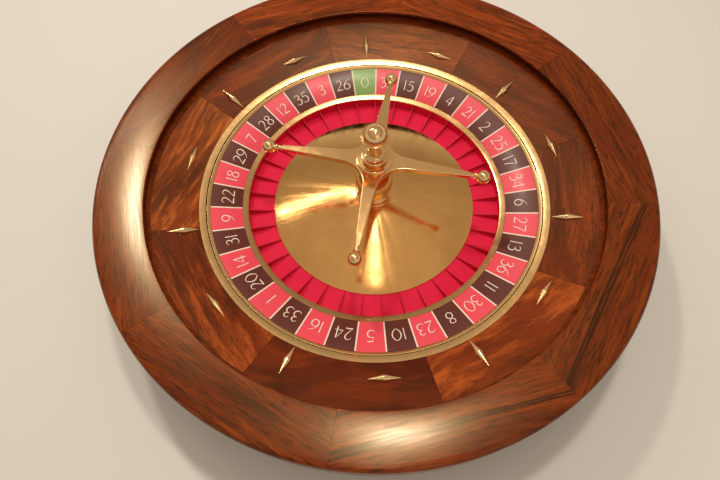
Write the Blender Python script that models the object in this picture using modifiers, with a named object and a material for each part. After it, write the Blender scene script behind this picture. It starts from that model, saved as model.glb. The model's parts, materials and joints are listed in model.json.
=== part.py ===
"""Roulette wheel: a wooden bowl that carries a turning wheel head with a brass turret.

Lengths are in metres and +Z is up. The origin is the middle of the circle of feet, on the
surface that they stand on, and the front of the wheel faces -Y. Turned pieces are written
as (radius, level) profiles, so each profile reads like a cross-section drawing.
"""

import math

import bmesh
import bpy
from mathutils import Matrix

COLLECTION_NAME = "roulette_wheel"
CUTTER_COLLECTION_NAME = "roulette_wheel_cutters"

# Fits shared by all pieces
SEAT_GAP = 0.0003
CUT_OVERRUN = 0.002
MERGE_DISTANCE = 0.00001
SHARP_ANGLE_DEG = 35.0

# Counts
POCKET_COUNT = 37
SEGMENT_COUNT = 8
DEFLECTOR_COUNT = 14
ARM_COUNT = 4
FOOT_COUNT = 4
BEARING_BALL_COUNT = 9
STEPS_PER_SEGMENT = 6
STEPS_PER_POCKET = 2
BEARING_BALL_SIDES = 6
BEARING_BALL_RINGS = 4
ARM_BALL_SIDES = 12
ARM_BALL_RINGS = 7
ARM_ROD_SIDES = 8
TURRET_STEPS = 28
SHAFT_STEPS = 24
FOOT_STEPS = 16

# Directions seen from above, counter-clockwise from +X
RIM_SEAM_DEG = -6.4
POCKET_EDGE_DEG = -7.005
DEFLECTOR_DEG = -9.0
ARM_DEG = -8.4
FOOT_DEG = 45.0

# Levelling feet
FOOT_PAD_RADIUS = 0.022
FOOT_PAD_HEIGHT = 0.008
FOOT_PAD_CHAMFER = 0.0015
FOOT_STUD_RADIUS = 0.005
FOOT_STUD_CLEARANCE = 0.0004
FOOT_NECK_HEIGHT = 0.004
FOOT_TRAVEL = 0.008
FOOT_STUD_HOLD = 0.005
FOOT_EDGE_MARGIN = 0.053

# Base board
BASE_BOARD_INSET = 0.002
BASE_BOARD_THICKNESS = 0.018
BASE_BOARD_CHAMFER = 0.003

# Bowl
BOWL_FLANGE_INSET = 0.0065
BOWL_BASE_WIDTH = 0.039
BOWL_WALL_CLEARANCE = 0.0031
BOWL_CURVE_POINTS = 5

# Rim
RIM_WIDTH = 0.0697
RIM_INNER_HEIGHT = 0.0406
RIM_OUTER_HEIGHT = 0.0480
RIM_CROWN = 0.0006
RIM_INNER_ROUNDING = 0.002
RIM_OUTER_ROUNDING = 0.006
RIM_BOTTOM_ROUNDING = 0.005
RIM_LIP_THICKNESS = 0.0043
RIM_CROWN_POINTS = 2

# Ball track
TRACK_RECESS = 0.003
TRACK_WALL = 0.0095
TRACK_COVE_RADIUS = 0.0065
TRACK_COVE_POINTS = 3

# Apron
APRON_SLOPE_DEG = 17.41
APRON_INNER_HEIGHT = 0.0728
APRON_WIDTH = 0.0646
APRON_ABOVE_RIM_JOINT = 0.0187
APRON_TRIM_WIDTH = 0.0094
APRON_TRIM_THICKNESS = 0.003
APRON_TRIM_BEAD = 0.0004
APRON_THICKNESS = 0.012

# Deflectors
DEFLECTOR_INSET = 0.0225
DEFLECTOR_LENGTH = 0.0445
DEFLECTOR_WIDTH = 0.0115
DEFLECTOR_HEIGHT = 0.006
DEFLECTOR_SIDES = 12

# Spindle
SPINDLE_RADIUS = 0.0125
SPINDLE_NECK_RADIUS = 0.010
SPINDLE_CHAMFER = 0.001
SPINDLE_OVERHANG = 0.003
SPINDLE_FLANGE_RADIUS = 0.045
SPINDLE_FLANGE_THICKNESS = 0.008

# Wheel head
ROTOR_RADIAL_CLEARANCE = 0.0011
ROTOR_LIFT = 0.003
ROTOR_BAND_WIDTH = 0.0047
ROTOR_BAND_DEPTH = 0.012
ROTOR_BAND_RISE = 0.0041
ROTOR_BAND_STEP = 0.0005
ROTOR_DISC_THICKNESS = 0.015
ROTOR_DISC_INSET = 0.002

# Number ring and the brass ring inside it
NUMBER_RING_RADIUS = 0.2529
NUMBER_RING_WIDTH = 0.0468
NUMBER_RING_THICKNESS = 0.003
NUMBER_SLOPE_DEG = 15.07
INNER_RING_WIDTH = 0.0086

# Pockets
POCKET_DEPTH = 0.0166
POCKET_LENGTH = 0.0383
POCKET_FLOOR_THICKNESS = 0.0025
POCKET_FLOOR_TUCK = 0.009
POCKET_WALL_SETBACK = 0.0005
POCKET_WALL_THICKNESS = 0.002
FRET_THICKNESS = 0.0012
FRET_OUTER_HEIGHT = 0.012
FRET_INNER_HEIGHT = 0.0022
FRET_HOOP_WIDTH = 0.002
FRET_HOOP_HEIGHT = 0.0015

# Cone
CONE_EDGE_HEIGHT = 0.0013
CONE_EDGE_SLOPE_DEG = 16.0
CONE_TOP_SLOPE_DEG = 10.8
CONE_THICKNESS = 0.0015
CONE_POINTS = 6

# Hub
HUB_RADIUS = 0.027
HUB_BORE_RADIUS = 0.0223
HUB_FLANGE_RADIUS = 0.050
HUB_FLANGE_THICKNESS = 0.004
HUB_CEILING_THICKNESS = 0.006

# Upper bearing and lower bush
BEARING_HEIGHT = 0.012
BEARING_PITCH_RADIUS = 0.0162
BEARING_BALL_RADIUS = 0.0027
BEARING_PLAY = 0.0003
BEARING_LAND_OFFSET = 0.0016
BEARING_GROOVE_HALF_WIDTH = 0.0032
BEARING_CAGE_THICKNESS = 0.0014
BEARING_CAGE_HEIGHT = 0.0072
BUSH_LENGTH = 0.016
BUSH_INSET = 0.001

# Turret column
COLUMN_HEIGHT = 0.0745
COLUMN_BASE_RADIUS = 0.0298
COLUMN_BASE_HEIGHT = 0.0045
COLUMN_BEAD_RADIUS = 0.0275
COLUMN_BEAD_HEIGHT = 0.0035
COLUMN_COVE_RADIUS = 0.0245
COLUMN_COVE_HEIGHT = 0.002
COLUMN_BARREL_RADIUS = 0.0278
COLUMN_TOP_RADIUS = 0.0215
COLUMN_CAP_RADIUS = 0.0245
COLUMN_CAP_HEIGHT = 0.004
COLUMN_BARREL_POINTS = 6
COLUMN_BARREL_SHARE = 0.30
COLUMN_RECESS_CLEARANCE = 0.002

# Turret cross
CROSS_ARM_INSET = 0.0047
CROSS_BALL_RADIUS = 0.0095
CROSS_BALL_COLLAR_RADIUS = 0.0055
CROSS_BALL_COLLAR_LENGTH = 0.003
CROSS_NECK_RADIUS = 0.0031
CROSS_TIP_HALF_WIDTH = 0.0035
CROSS_ROOT_HALF_WIDTH = 0.0095
CROSS_FILLET_RADIUS = 0.038
CROSS_HUB_THICKNESS = 0.010
CROSS_TIP_THICKNESS = 0.0068
CROSS_TOP_DROP = 0.0032
CROSS_FILLET_POINTS = 7
CROSS_TIP_SHARE = 0.88

# Turret collar and finial
COLLAR_RADIUS = 0.0264
COLLAR_RIM_HEIGHT = 0.0052
COLLAR_ROUNDING = 0.0018
COLLAR_WAIST_RADIUS = 0.0150
COLLAR_WAIST_HEIGHT = 0.0045
COLLAR_BEAD_RADIUS = 0.0195
COLLAR_BEAD_HEIGHT = 0.0040
FINIAL_NECK_RADIUS = 0.0092
FINIAL_NECK_HEIGHT = 0.0375
FINIAL_FOOT_RADIUS = 0.0150
FINIAL_FOOT_HEIGHT = 0.004
FINIAL_FLARE_RADIUS = 0.0145
FINIAL_FLARE_HEIGHT = 0.005
FINIAL_FLANGE_RADIUS = 0.0202
FINIAL_FLANGE_HEIGHT = 0.0032
FINIAL_FLANGE_ROUNDING = 0.0008
FINIAL_DOME_RADIUS = 0.0172
FINIAL_DOME_HEIGHT = 0.0162
FINIAL_DOME_POINTS = 6

# Levels of the bowl, from the feet up
BOARD_BOTTOM = FOOT_PAD_HEIGHT + FOOT_NECK_HEIGHT
BOARD_TOP = BOARD_BOTTOM + BASE_BOARD_THICKNESS
BOWL_BOTTOM = BOARD_TOP + SEAT_GAP
APRON_INNER_LEVEL = BOWL_BOTTOM + APRON_INNER_HEIGHT
APRON_OUTER_LEVEL = APRON_INNER_LEVEL + APRON_WIDTH * math.tan(math.radians(APRON_SLOPE_DEG))
RIM_BOTTOM = APRON_OUTER_LEVEL - APRON_ABOVE_RIM_JOINT
BOWL_TOP = RIM_BOTTOM - SEAT_GAP

# Radii of the bowl, from the wheel head outwards
ROTOR_RADIUS = NUMBER_RING_RADIUS + SEAT_GAP + ROTOR_BAND_WIDTH
TRIM_INNER_RADIUS = ROTOR_RADIUS + ROTOR_RADIAL_CLEARANCE
TRIM_OUTER_RADIUS = TRIM_INNER_RADIUS + APRON_TRIM_WIDTH
APRON_INNER_RADIUS = TRIM_OUTER_RADIUS + SEAT_GAP
APRON_OUTER_RADIUS = APRON_INNER_RADIUS + APRON_WIDTH
TRACK_INNER_RADIUS = APRON_OUTER_RADIUS + SEAT_GAP
TRACK_WALL_RADIUS = TRACK_INNER_RADIUS + TRACK_COVE_RADIUS * math.cos(math.radians(APRON_SLOPE_DEG))
TRACK_OUTER_RADIUS = TRACK_WALL_RADIUS + TRACK_WALL
RIM_INNER_RADIUS = TRACK_WALL_RADIUS - TRACK_RECESS
BOWL_RADIUS = RIM_INNER_RADIUS + RIM_WIDTH
BOWL_BORE_RADIUS = ROTOR_RADIUS + BOWL_WALL_CLEARANCE
BOWL_BASE_RADIUS = BOWL_BORE_RADIUS + BOWL_BASE_WIDTH
BASE_BOARD_RADIUS = BOWL_BASE_RADIUS - BASE_BOARD_INSET
FOOT_CIRCLE_RADIUS = BASE_BOARD_RADIUS - FOOT_EDGE_MARGIN
DEFLECTOR_CIRCLE_RADIUS = APRON_INNER_RADIUS + DEFLECTOR_INSET

# Levels of the wheel head, from the spindle flange up
FLANGE_BOTTOM = BOARD_TOP + SEAT_GAP
FLANGE_TOP = FLANGE_BOTTOM + SPINDLE_FLANGE_THICKNESS
HUB_BOTTOM = FLANGE_TOP + ROTOR_LIFT
HUB_FLANGE_TOP = HUB_BOTTOM + HUB_FLANGE_THICKNESS
DISC_BOTTOM = HUB_FLANGE_TOP + SEAT_GAP
DISC_TOP = DISC_BOTTOM + ROTOR_DISC_THICKNESS
FLOOR_BOTTOM = DISC_TOP + SEAT_GAP
FLOOR_TOP = FLOOR_BOTTOM + POCKET_FLOOR_THICKNESS
POCKET_BOTTOM = FLOOR_TOP + SEAT_GAP
CONE_EDGE_LEVEL = POCKET_BOTTOM + CONE_EDGE_HEIGHT

# Radii of the wheel head, from the number ring inwards
NUMBER_RING_BORE = NUMBER_RING_RADIUS - NUMBER_RING_WIDTH
INNER_RING_RADIUS = NUMBER_RING_BORE - SEAT_GAP
INNER_RING_BORE = INNER_RING_RADIUS - INNER_RING_WIDTH
POCKET_WALL_BORE = INNER_RING_BORE + POCKET_WALL_SETBACK
POCKET_WALL_RADIUS = POCKET_WALL_BORE + POCKET_WALL_THICKNESS
CONE_RADIUS = INNER_RING_BORE - POCKET_LENGTH
CROSS_ARM_REACH = CONE_RADIUS - CROSS_ARM_INSET

# Angles that follow the counts
SEGMENT_DEG = 360.0 / SEGMENT_COUNT
POCKET_DEG = 360.0 / POCKET_COUNT
BOWL_STEPS = SEGMENT_COUNT * STEPS_PER_SEGMENT
ROTOR_STEPS = POCKET_COUNT * STEPS_PER_POCKET
APRON_SEAM_DEG = RIM_SEAM_DEG - SEGMENT_DEG / 2.0


# Surfaces that several pieces share

def apron_level(radius):
    """Height of the apron's running surface at a radius."""
    slope = math.tan(math.radians(APRON_SLOPE_DEG))
    return APRON_INNER_LEVEL + slope * (radius - APRON_INNER_RADIUS)


def number_level(radius):
    """Height of the sloping band that carries the numbers, at a radius."""
    slope = math.tan(math.radians(NUMBER_SLOPE_DEG))
    return FLOOR_TOP + POCKET_DEPTH + slope * (radius - INNER_RING_BORE)


def cone_level(radius):
    """Height of the domed cone's outer surface, steeper at its edge than at its top."""
    edge_slope = math.tan(math.radians(CONE_EDGE_SLOPE_DEG))
    top_slope = math.tan(math.radians(CONE_TOP_SLOPE_DEG))
    inward = CONE_RADIUS - radius
    full = CONE_RADIUS - HUB_RADIUS
    return CONE_EDGE_LEVEL + edge_slope * inward + (top_slope - edge_slope) * inward ** 2 / (2.0 * full)


HUB_TOP = cone_level(HUB_RADIUS)
HUB_CEILING = HUB_TOP - HUB_CEILING_THICKNESS
BEARING_TOP = HUB_CEILING - SEAT_GAP
BEARING_BOTTOM = BEARING_TOP - BEARING_HEIGHT
BEARING_MIDDLE = (BEARING_TOP + BEARING_BOTTOM) / 2.0
SPINDLE_SHOULDER = BEARING_BOTTOM - SEAT_GAP
SPINDLE_TOP = HUB_TOP + SPINDLE_OVERHANG
COLUMN_BOTTOM = HUB_TOP + SEAT_GAP
COLUMN_TOP = COLUMN_BOTTOM + COLUMN_HEIGHT
CROSS_BOTTOM = COLUMN_TOP + SEAT_GAP
CROSS_TOP = CROSS_BOTTOM + CROSS_HUB_THICKNESS
COLLAR_BOTTOM = CROSS_TOP + SEAT_GAP
COLLAR_TOP = COLLAR_BOTTOM + COLLAR_RIM_HEIGHT + COLLAR_WAIST_HEIGHT + COLLAR_BEAD_HEIGHT
FINIAL_BOTTOM = COLLAR_TOP + SEAT_GAP


# Scene, collections and materials

def clear_scene():
    """Remove whatever the file starts with."""
    for obj in list(bpy.data.objects):
        bpy.data.objects.remove(obj, do_unlink=True)


def make_collection(name):
    """A new collection under the scene's own."""
    collection = bpy.data.collections.new(name)
    bpy.context.scene.collection.children.link(collection)
    return collection


def make_material(name, colour, roughness, metallic):
    """A plain Principled material with one colour."""
    material = bpy.data.materials.new(name)
    material.use_nodes = True
    shader = material.node_tree.nodes["Principled BSDF"]
    shader.inputs["Base Color"].default_value = (*colour, 1.0)
    shader.inputs["Roughness"].default_value = roughness
    shader.inputs["Metallic"].default_value = metallic
    material.diffuse_color = (*colour, 1.0)
    return material


class Workshop:
    """Holds the collections and finishes, and turns meshes into named pieces."""

    def __init__(self):
        self.parts = make_collection(COLLECTION_NAME)
        self.cutters = make_collection(CUTTER_COLLECTION_NAME)
        self.finishes = {
            "rim_wood": make_material("rim_wood", (0.24, 0.085, 0.030), 0.35, 0.0),
            "apron_wood": make_material("apron_wood", (0.14, 0.038, 0.014), 0.30, 0.0),
            "track_wood": make_material("track_wood", (0.07, 0.020, 0.008), 0.35, 0.0),
            "body_wood": make_material("body_wood", (0.12, 0.045, 0.020), 0.45, 0.0),
            "plywood": make_material("plywood", (0.42, 0.28, 0.15), 0.60, 0.0),
            "brass": make_material("brass", (0.72, 0.46, 0.16), 0.18, 1.0),
            "number_enamel": make_material("number_enamel", (0.55, 0.05, 0.06), 0.30, 0.0),
            "pocket_red": make_material("pocket_red", (0.62, 0.02, 0.05), 0.45, 0.0),
            "steel": make_material("steel", (0.55, 0.55, 0.57), 0.28, 1.0),
            "bronze": make_material("bronze", (0.48, 0.27, 0.11), 0.35, 1.0),
            "rubber": make_material("rubber", (0.03, 0.03, 0.03), 0.80, 0.0),
        }

    def add(self, name, mesh, finish, parent=None):
        """Make a mesh a named piece with its finish, on a parent if it moves."""
        obj = bpy.data.objects.new(name, mesh)
        self.parts.objects.link(obj)
        mesh.materials.clear()
        mesh.materials.append(self.finishes[finish])
        obj.parent = parent
        return obj

    def axis(self, name, location=(0.0, 0.0, 0.0)):
        """An empty on a joint's axis, which carries the pieces of one moving body."""
        empty = bpy.data.objects.new(name, None)
        empty.location = location
        self.parts.objects.link(empty)
        return empty

    def cutter(self, name, mesh):
        """A helper solid that the build leaves out."""
        obj = bpy.data.objects.new(name, mesh)
        self.cutters.objects.link(obj)
        obj.hide_render = True
        obj.display_type = "WIRE"
        return obj

    def apply(self, obj, smooth=True):
        """Replace an object's mesh with the result of its modifiers."""
        depsgraph = bpy.context.evaluated_depsgraph_get()
        depsgraph.update()
        old = obj.data
        new = bpy.data.meshes.new_from_object(obj.evaluated_get(depsgraph))
        obj.modifiers.clear()
        obj.data = new
        new.name = obj.name
        bpy.data.meshes.remove(old)
        if smooth:
            new.shade_smooth()
            new.set_sharp_from_angle(angle=math.radians(SHARP_ANGLE_DEG))
        return obj

    def boolean(self, obj, operand, operation):
        """Cut or join a helper solid and drop the helper afterwards."""
        modifier = obj.modifiers.new(operation.lower(), "BOOLEAN")
        modifier.operation = operation
        modifier.solver = "EXACT"
        modifier.object = operand
        self.apply(obj)
        bpy.data.objects.remove(operand, do_unlink=True)
        return obj


# Profiles and turned shapes

def arc(centre_radius, centre_level, radius, start_deg, end_deg, points):
    """Points of a circular arc in a profile, both ends included."""
    angles = (start_deg + (end_deg - start_deg) * i / (points - 1) for i in range(points))
    return [
        (
            centre_radius + radius * math.cos(math.radians(angle)),
            centre_level + radius * math.sin(math.radians(angle)),
        )
        for angle in angles
    ]


def signed_area(profile):
    """Positive when a profile's points run counter-clockwise."""
    pairs = zip(profile, profile[1:] + profile[:1])
    return sum(r0 * z1 - r1 * z0 for (r0, z0), (r1, z1) in pairs) / 2.0


def turned(shop, name, profile, steps, finish, phase_deg=0.0, parent=None):
    """Turn a profile about the Z axis with a Screw modifier.

    A closed ring keeps its profile's last point joined to its first. A profile that starts
    and ends on the axis is left open there, because the axis itself closes it.
    """
    on_axis = profile[0][0] == 0.0 and profile[-1][0] == 0.0
    if signed_area(profile) > 0.0:
        profile = profile[::-1]
    mesh = bpy.data.meshes.new(name)
    count = len(profile)
    edges = [(i, i + 1) for i in range(count - 1)]
    if not on_axis:
        edges.append((count - 1, 0))
    mesh.from_pydata([(radius, 0.0, level) for radius, level in profile], edges, [])
    obj = shop.add(name, mesh, finish, parent)
    screw = obj.modifiers.new("turn", "SCREW")
    screw.axis = "Z"
    screw.angle = math.radians(360.0)
    screw.steps = steps
    screw.render_steps = steps
    screw.use_merge_vertices = True
    screw.merge_threshold = MERGE_DISTANCE
    screw.use_smooth_shade = True
    shop.apply(obj)
    obj.rotation_euler.z = math.radians(phase_deg)
    return obj


def swept_segment(name, profile, start_deg, sweep_deg, steps):
    """One block of a segmented ring: a closed profile swept part of the way round."""
    mesh = bpy.data.meshes.new(name)
    bm = bmesh.new()
    face = bm.faces.new([bm.verts.new((radius, 0.0, level)) for radius, level in profile])
    bmesh.ops.spin(
        bm,
        geom=[face, *face.edges, *face.verts],
        cent=(0.0, 0.0, 0.0),
        axis=(0.0, 0.0, 1.0),
        angle=math.radians(sweep_deg),
        steps=steps,
    )
    bmesh.ops.rotate(bm, verts=bm.verts, matrix=Matrix.Rotation(math.radians(start_deg), 3, "Z"))
    bmesh.ops.recalc_face_normals(bm, faces=bm.faces)
    bm.to_mesh(mesh)
    bm.free()
    mesh.shade_smooth()
    mesh.set_sharp_from_angle(angle=math.radians(SHARP_ANGLE_DEG))
    return mesh


def segment_ring(shop, name, profile, seam_deg, finish):
    """A ring of separate blocks with a fine joint between neighbours."""
    inner_radius = min(radius for radius, _ in profile)
    joint_deg = math.degrees(SEAT_GAP / inner_radius)
    for index in range(SEGMENT_COUNT):
        start = seam_deg + SEGMENT_DEG * index + joint_deg / 2.0
        piece = f"{name}_{index + 1}"
        mesh = swept_segment(piece, profile, start, SEGMENT_DEG - joint_deg, STEPS_PER_SEGMENT)
        shop.add(piece, mesh, finish)


def cylinder_mesh(name, radius, height, sides):
    """A closed cylinder that stands on the plane z = 0."""
    mesh = bpy.data.meshes.new(name)
    bm = bmesh.new()
    bmesh.ops.create_cone(
        bm, cap_ends=True, segments=sides, radius1=radius, radius2=radius, depth=height
    )
    bmesh.ops.translate(bm, verts=bm.verts, vec=(0.0, 0.0, height / 2.0))
    bm.to_mesh(mesh)
    bm.free()
    return mesh


def around(count, start_deg):
    """Directions of evenly spaced copies about the Z axis."""
    return [start_deg + 360.0 * index / count for index in range(count)]


def polar(radius, angle_deg, level):
    """A point given by its radius, direction and height."""
    angle = math.radians(angle_deg)
    return (radius * math.cos(angle), radius * math.sin(angle), level)


# Feet and base

def make_feet(shop):
    """Levelling feet: a pad on a threaded stud that screws up into the board."""
    stud_length = FOOT_NECK_HEIGHT + FOOT_TRAVEL + FOOT_STUD_HOLD
    profile = [
        (0.0, FOOT_PAD_HEIGHT + stud_length),
        (FOOT_STUD_RADIUS, FOOT_PAD_HEIGHT + stud_length),
        (FOOT_STUD_RADIUS, FOOT_PAD_HEIGHT),
        (FOOT_PAD_RADIUS - FOOT_PAD_CHAMFER, FOOT_PAD_HEIGHT),
        (FOOT_PAD_RADIUS, FOOT_PAD_HEIGHT - FOOT_PAD_CHAMFER),
        (FOOT_PAD_RADIUS, 0.0),
        (0.0, 0.0),
    ]
    for index, angle in enumerate(around(FOOT_COUNT, FOOT_DEG)):
        name = f"levelling_foot_{index + 1}"
        axis = shop.axis(f"{name}_axis", polar(FOOT_CIRCLE_RADIUS, angle, 0.0))
        turned(shop, name, profile, FOOT_STEPS, "rubber", parent=axis)


def make_base_board(shop):
    """Round board with a blind hole over each foot."""
    profile = [
        (0.0, BOARD_TOP),
        (BASE_BOARD_RADIUS - BASE_BOARD_CHAMFER, BOARD_TOP),
        (BASE_BOARD_RADIUS, BOARD_TOP - BASE_BOARD_CHAMFER),
        (BASE_BOARD_RADIUS, BOARD_BOTTOM + BASE_BOARD_CHAMFER),
        (BASE_BOARD_RADIUS - BASE_BOARD_CHAMFER, BOARD_BOTTOM),
        (0.0, BOARD_BOTTOM),
    ]
    board = turned(shop, "base_board", profile, BOWL_STEPS, "plywood", RIM_SEAM_DEG)
    depth = FOOT_TRAVEL + FOOT_STUD_HOLD + SEAT_GAP
    for index, angle in enumerate(around(FOOT_COUNT, FOOT_DEG)):
        mesh = cylinder_mesh(
            f"foot_hole_{index + 1}",
            FOOT_STUD_RADIUS + FOOT_STUD_CLEARANCE,
            depth + CUT_OVERRUN,
            FOOT_STEPS,
        )
        hole = shop.cutter(f"foot_hole_{index + 1}", mesh)
        hole.location = polar(FOOT_CIRCLE_RADIUS, angle, BOARD_BOTTOM - CUT_OVERRUN)
        shop.boolean(board, hole, "DIFFERENCE")


# Bowl

def make_bowl_body(shop):
    """Turned body under the rim and apron, curved in to its base."""
    flange_radius = BOWL_RADIUS - BOWL_FLANGE_INSET
    trim_edge = APRON_INNER_RADIUS - SEAT_GAP
    apron_seat = APRON_THICKNESS + SEAT_GAP
    track_edge = TRACK_OUTER_RADIUS
    curve = [
        (
            BOWL_BASE_RADIUS + (flange_radius - BOWL_BASE_RADIUS) * math.cos(turn),
            BOWL_TOP - (BOWL_TOP - BOWL_BOTTOM) * math.sin(turn),
        )
        for turn in (math.pi / 2.0 * i / (BOWL_CURVE_POINTS - 1) for i in range(BOWL_CURVE_POINTS))
    ]
    profile = [
        (BOWL_BORE_RADIUS, apron_level(BOWL_BORE_RADIUS) - APRON_TRIM_THICKNESS - SEAT_GAP),
        (trim_edge, apron_level(trim_edge) - APRON_TRIM_THICKNESS - SEAT_GAP),
        (trim_edge, apron_level(trim_edge) - apron_seat),
        (APRON_OUTER_RADIUS, apron_level(APRON_OUTER_RADIUS) - apron_seat),
        (track_edge, apron_level(APRON_OUTER_RADIUS) - apron_seat),
        (track_edge, BOWL_TOP),
        *curve,
        (BOWL_BORE_RADIUS, BOWL_BOTTOM),
    ]
    turned(shop, "bowl_body", profile, BOWL_STEPS, "body_wood", RIM_SEAM_DEG)


def make_rim(shop):
    """Eight rim blocks with a crowned top and a thin lip over the ball track."""
    inner_top = RIM_BOTTOM + RIM_INNER_HEIGHT
    outer_top = RIM_BOTTOM + RIM_OUTER_HEIGHT
    crown_start = RIM_INNER_RADIUS + RIM_INNER_ROUNDING
    crown_end = BOWL_RADIUS - RIM_OUTER_ROUNDING
    crown = []
    for i in range(1, RIM_CROWN_POINTS + 1):
        share = i / (RIM_CROWN_POINTS + 1)
        level = inner_top + (outer_top - inner_top) * share + RIM_CROWN * 4.0 * share * (1.0 - share)
        crown.append((crown_start + (crown_end - crown_start) * share, level))
    lip_bottom = inner_top - RIM_LIP_THICKNESS
    profile = [
        (RIM_INNER_RADIUS, lip_bottom),
        (RIM_INNER_RADIUS, inner_top - RIM_INNER_ROUNDING),
        (crown_start, inner_top),
        *crown,
        *arc(crown_end, outer_top - RIM_OUTER_ROUNDING, RIM_OUTER_ROUNDING, 90.0, 0.0, 4),
        (BOWL_RADIUS, RIM_BOTTOM + RIM_BOTTOM_ROUNDING),
        (BOWL_RADIUS - RIM_BOTTOM_ROUNDING, RIM_BOTTOM),
        (TRACK_OUTER_RADIUS + SEAT_GAP, RIM_BOTTOM),
        (TRACK_OUTER_RADIUS + SEAT_GAP, lip_bottom),
    ]
    segment_ring(shop, "rim_segment", profile, RIM_SEAM_DEG, "rim_wood")


def make_ball_track(shop):
    """Turned ring whose cove leads the apron up into the wall under the rim's lip."""
    top = RIM_BOTTOM + RIM_INNER_HEIGHT - RIM_LIP_THICKNESS - SEAT_GAP
    bottom = apron_level(APRON_OUTER_RADIUS) - APRON_THICKNESS
    start = apron_level(TRACK_INNER_RADIUS)
    cove_centre = start + TRACK_COVE_RADIUS * math.cos(math.radians(APRON_SLOPE_DEG))
    cove = arc(
        TRACK_WALL_RADIUS - TRACK_COVE_RADIUS,
        cove_centre,
        TRACK_COVE_RADIUS,
        APRON_SLOPE_DEG - 90.0,
        0.0,
        TRACK_COVE_POINTS,
    )
    # The cove starts at the apron's slope, a little outside the ring's inner edge.
    profile = [
        (TRACK_INNER_RADIUS, bottom),
        (TRACK_INNER_RADIUS, start),
        *cove,
        (TRACK_WALL_RADIUS, top),
        (TRACK_OUTER_RADIUS, top),
        (TRACK_OUTER_RADIUS, bottom),
    ]
    turned(shop, "ball_track_ring", profile, BOWL_STEPS, "track_wood", RIM_SEAM_DEG)


def make_apron(shop):
    """Eight sloping apron blocks and the brass trim ring inside them."""
    profile = [
        (APRON_INNER_RADIUS, apron_level(APRON_INNER_RADIUS)),
        (APRON_OUTER_RADIUS, apron_level(APRON_OUTER_RADIUS)),
        (APRON_OUTER_RADIUS, apron_level(APRON_OUTER_RADIUS) - APRON_THICKNESS),
        (APRON_INNER_RADIUS, apron_level(APRON_INNER_RADIUS) - APRON_THICKNESS),
    ]
    segment_ring(shop, "apron_segment", profile, APRON_SEAM_DEG, "apron_wood")
    middle = (TRIM_INNER_RADIUS + TRIM_OUTER_RADIUS) / 2.0
    trim = [
        (TRIM_INNER_RADIUS, apron_level(TRIM_INNER_RADIUS)),
        (middle, apron_level(middle) + APRON_TRIM_BEAD),
        (TRIM_OUTER_RADIUS, apron_level(TRIM_OUTER_RADIUS)),
        (TRIM_OUTER_RADIUS, apron_level(TRIM_OUTER_RADIUS) - APRON_TRIM_THICKNESS),
        (TRIM_INNER_RADIUS, apron_level(TRIM_INNER_RADIUS) - APRON_TRIM_THICKNESS),
    ]
    turned(shop, "apron_trim_ring", trim, BOWL_STEPS, "brass", RIM_SEAM_DEG)


def deflector_mesh():
    """A long double cone, flattened to its height and cut flat underneath."""
    mesh = bpy.data.meshes.new("deflector")
    half = DEFLECTOR_LENGTH / 2.0
    radius = DEFLECTOR_WIDTH / 2.0
    bm = bmesh.new()
    for side in (1.0, -1.0):
        cone = bmesh.ops.create_cone(
            bm, cap_ends=False, segments=DEFLECTOR_SIDES, radius1=radius, radius2=0.0, depth=half
        )
        move = Matrix.Translation((side * half / 2.0, 0.0, 0.0))
        turn = Matrix.Rotation(math.radians(side * 90.0), 4, "Y")
        bmesh.ops.transform(bm, verts=cone["verts"], matrix=move @ turn)
    bmesh.ops.remove_doubles(bm, verts=bm.verts, dist=MERGE_DISTANCE)
    bmesh.ops.scale(bm, verts=bm.verts, vec=(1.0, 1.0, DEFLECTOR_HEIGHT / radius))
    cut = bmesh.ops.bisect_plane(
        bm,
        geom=[*bm.verts, *bm.edges, *bm.faces],
        plane_co=(0.0, 0.0, 0.0),
        plane_no=(0.0, 0.0, 1.0),
        clear_inner=True,
        dist=MERGE_DISTANCE,
    )
    rim = [item for item in cut["geom_cut"] if isinstance(item, bmesh.types.BMEdge)]
    bmesh.ops.contextual_create(bm, geom=rim)
    bmesh.ops.recalc_face_normals(bm, faces=bm.faces)
    bm.to_mesh(mesh)
    bm.free()
    return mesh


def make_deflectors(shop):
    """Brass deflectors on the apron, pointing inwards and sideways in turn."""
    half = DEFLECTOR_LENGTH / 2.0
    slope = math.radians(APRON_SLOPE_DEG)
    facet_half_angle = math.radians(180.0 / BOWL_STEPS)
    reach = math.hypot(DEFLECTOR_CIRCLE_RADIUS, half) / math.cos(facet_half_angle)
    rise = math.tan(slope) * (reach - DEFLECTOR_CIRCLE_RADIUS)
    level = apron_level(DEFLECTOR_CIRCLE_RADIUS) + rise + SEAT_GAP
    for index, angle in enumerate(around(DEFLECTOR_COUNT, DEFLECTOR_DEG)):
        mesh = deflector_mesh()
        obj = shop.add(f"deflector_{index + 1}", mesh, "brass")
        across = 90.0 if index % 2 else 0.0
        place = Matrix.Translation(polar(DEFLECTOR_CIRCLE_RADIUS, angle, level))
        turn = Matrix.Rotation(math.radians(angle), 4, "Z")
        lean = Matrix.Rotation(-slope, 4, "Y")
        obj.matrix_world = place @ turn @ lean @ Matrix.Rotation(math.radians(across), 4, "Z")


# Spindle, hub and bearings

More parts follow.
